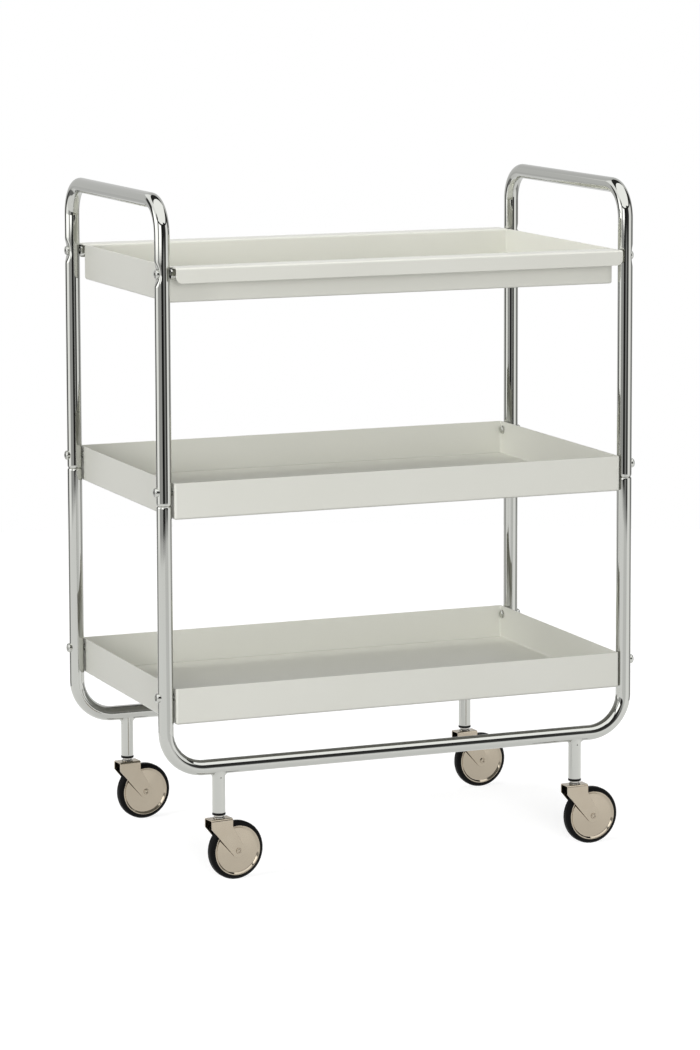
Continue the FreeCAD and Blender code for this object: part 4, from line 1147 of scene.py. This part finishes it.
class ROLLINGSHELF_OT_studio(Operator):
    """Set up the paper floor, what the chrome mirrors, the lamps and the camera"""
    bl_idname = "rolling_shelf.studio"
    bl_label = "Studio"

    def execute(self, context):
        settings = context.scene.rolling_shelf
        studio = settings.studio
        self.floor(settings)
        self.surround(studio)
        self.lamps(context)
        self.world(context, studio)
        self.camera(context, studio)
        context.scene.view_settings.view_transform = "Standard"
        return {"FINISHED"}

    def stage_piece(self, name, bm, material):
        """Makes an object of the stage, which is no part of the shelf."""
        mesh = bpy.data.meshes.new(name)
        bm.to_mesh(mesh)
        bm.free()
        mesh.materials.append(material)
        piece = bpy.data.objects.new(name, mesh)
        bpy.context.scene.collection.objects.link(piece)
        return piece

    def mirrored_only(self, piece):
        """Lets a stage piece show in mirrors and nowhere else."""
        for ray in ("camera", "diffuse", "transmission", "volume_scatter", "shadow"):
            setattr(piece, f"visible_{ray}", False)

    def floor(self, settings):
        """White paper that takes the shelf's shadow and runs out into the white all round."""
        material, tree = new_material("Paper, white, seamless")
        path, studio = add(tree, "LightPath"), settings.studio
        seen = add(tree, "Math", {0: path.outputs["Is Camera Ray"], 1: studio.glow}, operation="MULTIPLY")
        mirrored = add(tree, "Math", {
            0: path.outputs["Is Glossy Ray"], 1: path.outputs["Is Transmission Ray"]}, operation="MAXIMUM")
        lift = add(tree, "Math", {
            0: mirrored.outputs[0], 1: studio.mirrored_glow, 2: seen.outputs[0]}, operation="MULTIPLY_ADD")
        glow = add(tree, "Emission", {"Strength": lift.outputs[0]})
        place = add(tree, "TexCoord").outputs["Object"]
        tooth = add(tree, "TexNoise", {"Vector": place, "Scale": per(3), "Detail": 2.0})
        skin = add(tree, "Bump", {"Height": tooth.outputs[0], "Strength": 0.05, "Distance": 0.1 * MM})
        paper = add(tree, "BsdfDiffuse", {
            "Color": opaque(settings.finish.floor), "Roughness": 0.8, "Normal": skin.outputs[0]})
        both = add(tree, "AddShader", {0: paper.outputs[0], 1: glow.outputs[0]})
        add(tree, "OutputMaterial", {"Surface": both.outputs[0]})
        bm = bmesh.new()
        bm.faces.new([bm.verts.new(point) for point in ring(Matrix(), studio.paper, 0.0)])
        self.stage_piece("studio_floor", bm, material)

    def surround(self, studio):
        """What the chrome mirrors: bright and dark bands on walls and floor, a dark ceiling and a softbox."""
        for index, ((low, below), (high, above)) in enumerate(zip(SURROUND, SURROUND[1:])):
            edges = [ring(Matrix(), studio.paper, height) for height in (low, high)]
            self.banded(f"studio_wall_{index}", edges, studio, below, above)
        edges = [ring(Matrix(), radius, SHEEN_HEIGHT) for radius in (studio.sheen, studio.paper)]
        self.banded("studio_floor_sheen", edges, studio, COVE, COVE)
        self.panel("studio_ceiling", ring(Matrix(), studio.paper, SURROUND[-1][0]), studio.ceiling)
        place = Vector(studio.softbox)
        facing = (Vector((place.x, -POST_Y, RAIL_Z)) - place).to_track_quat("Z", "Y").to_matrix().to_4x4()
        half_x, half_y = studio.softbox_width / 2, studio.softbox_height / 2
        corners = [(-half_x, -half_y, 0), (half_x, -half_y, 0), (half_x, half_y, 0), (-half_x, half_y, 0)]
        corners = [Matrix.Translation(place) @ facing @ Vector(corner) for corner in corners]
        self.panel("studio_softbox", corners, studio.softbox_level)

    def banded(self, name, edges, studio, below, above):
        """A round stage piece whose brightness runs from the levels at one edge to those at the other."""
        material, tree = new_material(name)
        place = add(tree, "TexCoord").outputs["Object"]
        turn = add(tree, "TexGradient", {"Vector": place}, gradient_type="RADIAL").outputs["Fac"]
        lights = []
        for table in [below] if above is below else [below, above]:
            ramp = add(tree, "ValToRGB", {"Fac": turn})
            steps = ramp.color_ramp.elements
            given = len(steps)
            for index, (angle, level) in enumerate(table):
                position = angle / 360 + 0.5
                step = steps[index] if index < given else steps.new(position)
                step.position = position
                step.color = opaque((level, level, level))
            lights.append(ramp.outputs["Color"])
        light = lights[0]
        if len(lights) > 1:
            height = add(tree, "SeparateXYZ", {"Vector": place}).outputs["Z"]
            share = add(tree, "MapRange", {
                "Value": height, "From Min": edges[0][0].z, "From Max": edges[-1][0].z}).outputs[0]
            light = add(tree, "Mix", {0: share, 6: light, 7: lights[1]}, data_type="RGBA").outputs[2]
        glow = add(tree, "Emission", {"Color": light})
        add(tree, "OutputMaterial", {"Surface": glow.outputs[0]})
        bm = bmesh.new()
        loft(bm, edges)
        piece = self.stage_piece(name, bm, material)
        to_camera = Vector(studio.standpoint).to_2d()
        piece.rotation_euler.z = math.atan2(to_camera.y, to_camera.x)
        self.mirrored_only(piece)

    def panel(self, name, corners, level):
        """A flat panel of one brightness."""
        material, tree = new_material(name)
        light = add(tree, "Emission", {"Color": opaque((1.0, 1.0, 1.0)), "Strength": level})
        add(tree, "OutputMaterial", {"Surface": light.outputs[0]})
        bm = bmesh.new()
        bm.faces.new([bm.verts.new(point) for point in corners])
        self.mirrored_only(self.stage_piece(name, bm, material))

    def lamps(self, context):
        """Soft lamps from the front, the left and above. The surround stands for them in mirrors."""
        aim = (CAD_BOX[0] + CAD_BOX[1]) / 2
        for name, (place, size, watts) in LAMPS.items():
            data = bpy.data.lights.new(name, "AREA")
            data.shape = "DISK"
            data.size = size
            data.energy = watts
            lamp = bpy.data.objects.new(name, data)
            lamp.location = place
            lamp.rotation_mode = "QUATERNION"
            lamp.rotation_quaternion = (aim - Vector(place)).to_track_quat("-Z", "Y")
            lamp.visible_glossy = False
            context.scene.collection.objects.link(lamp)

    def world(self, context, studio):
        """White all round for the eye and for mirrors, at the ambient level for the rest."""
        world = bpy.data.worlds.new("Studio white")
        world.use_nodes = True
        tree = world.node_tree
        tree.nodes.clear()
        path = add(tree, "LightPath")
        seen = path.outputs["Is Camera Ray"]
        for ray in ("Is Glossy Ray", "Is Transmission Ray"):
            seen = add(tree, "Math", {0: seen, 1: path.outputs[ray]}, operation="MAXIMUM").outputs[0]
        level = add(tree, "MapRange", {"Value": seen, "To Min": studio.ambient, "To Max": 1.0})
        light = add(tree, "Background", {"Color": opaque((1.0, 1.0, 1.0)), "Strength": level.outputs[0]})
        add(tree, "OutputWorld", {"Surface": light.outputs[0]})
        context.scene.world = world

    def camera(self, context, studio):
        """Camera at the photograph's viewing angle."""
        level = Matrix.Rotation(-studio.turn, 4, "Z") @ Matrix.Rotation(math.pi / 2 + studio.tilt, 4, "X")
        data = bpy.data.cameras.new("camera")
        data.lens = studio.lens
        data.shift_y = studio.shift
        camera = bpy.data.objects.new("camera", data)
        camera.matrix_world = (
            Matrix.Translation(studio.standpoint) @ level @ Matrix.Rotation(studio.roll, 4, "Z"))
        context.scene.collection.objects.link(camera)
        context.scene.camera = camera


STEPS = (
    ROLLINGSHELF_OT_handle_hoops, ROLLINGSHELF_OT_lower_frames, ROLLINGSHELF_OT_caster_stubs,
    ROLLINGSHELF_OT_shelves, ROLLINGSHELF_OT_serving_tray, ROLLINGSHELF_OT_shelf_fasteners,
    ROLLINGSHELF_OT_tray_pegs, ROLLINGSHELF_OT_casters, ROLLINGSHELF_OT_wheels,
    ROLLINGSHELF_OT_inner_pieces, ROLLINGSHELF_OT_studio,
)


class ROLLINGSHELF_PT_build(Panel):
    """Lists the steps that build the rolling shelf"""
    bl_label = "Rolling shelf"
    bl_space_type = "VIEW_3D"
    bl_region_type = "UI"
    bl_category = "Rolling shelf"

    def draw(self, context):
        for step in STEPS:
            self.layout.operator(step.bl_idname)
        settings = context.scene.rolling_shelf
        groups = (settings.tube, settings.sheet, settings.fastener, settings.caster, settings.wheel,
                  settings.finish, settings.studio)
        for group in groups:
            box = self.layout.box()
            for name in group.bl_rna.properties.keys():
                if name not in ("rna_type", "name"):
                    box.prop(group, name)


CLASSES = (
    TubeSizes, SheetSizes, FastenerSizes, CasterSizes, WheelSizes, Finishes, StudioSizes,
    RollingShelfSettings, *STEPS, ROLLINGSHELF_PT_build,
)


def register():
    """Registers the classes and hangs the settings on the scene."""
    for cls in CLASSES:
        bpy.utils.register_class(cls)
    bpy.types.Scene.rolling_shelf = PointerProperty(type=RollingShelfSettings)


def unregister():
    """Takes back what register does."""
    del bpy.types.Scene.rolling_shelf
    for cls in reversed(CLASSES):
        bpy.utils.unregister_class(cls)


def main():
    """Builds the shelf step by step."""
    register()
    bpy.ops.rolling_shelf.handle_hoops()
    bpy.ops.rolling_shelf.lower_frames()
    bpy.ops.rolling_shelf.caster_stubs()
    bpy.ops.rolling_shelf.shelves()
    bpy.ops.rolling_shelf.serving_tray()
    bpy.ops.rolling_shelf.shelf_fasteners()
    bpy.ops.rolling_shelf.tray_pegs()
    bpy.ops.rolling_shelf.casters()
    bpy.ops.rolling_shelf.wheels()
    bpy.ops.rolling_shelf.inner_pieces()
    bpy.ops.rolling_shelf.studio()


if __name__ == "__main__":
    main()
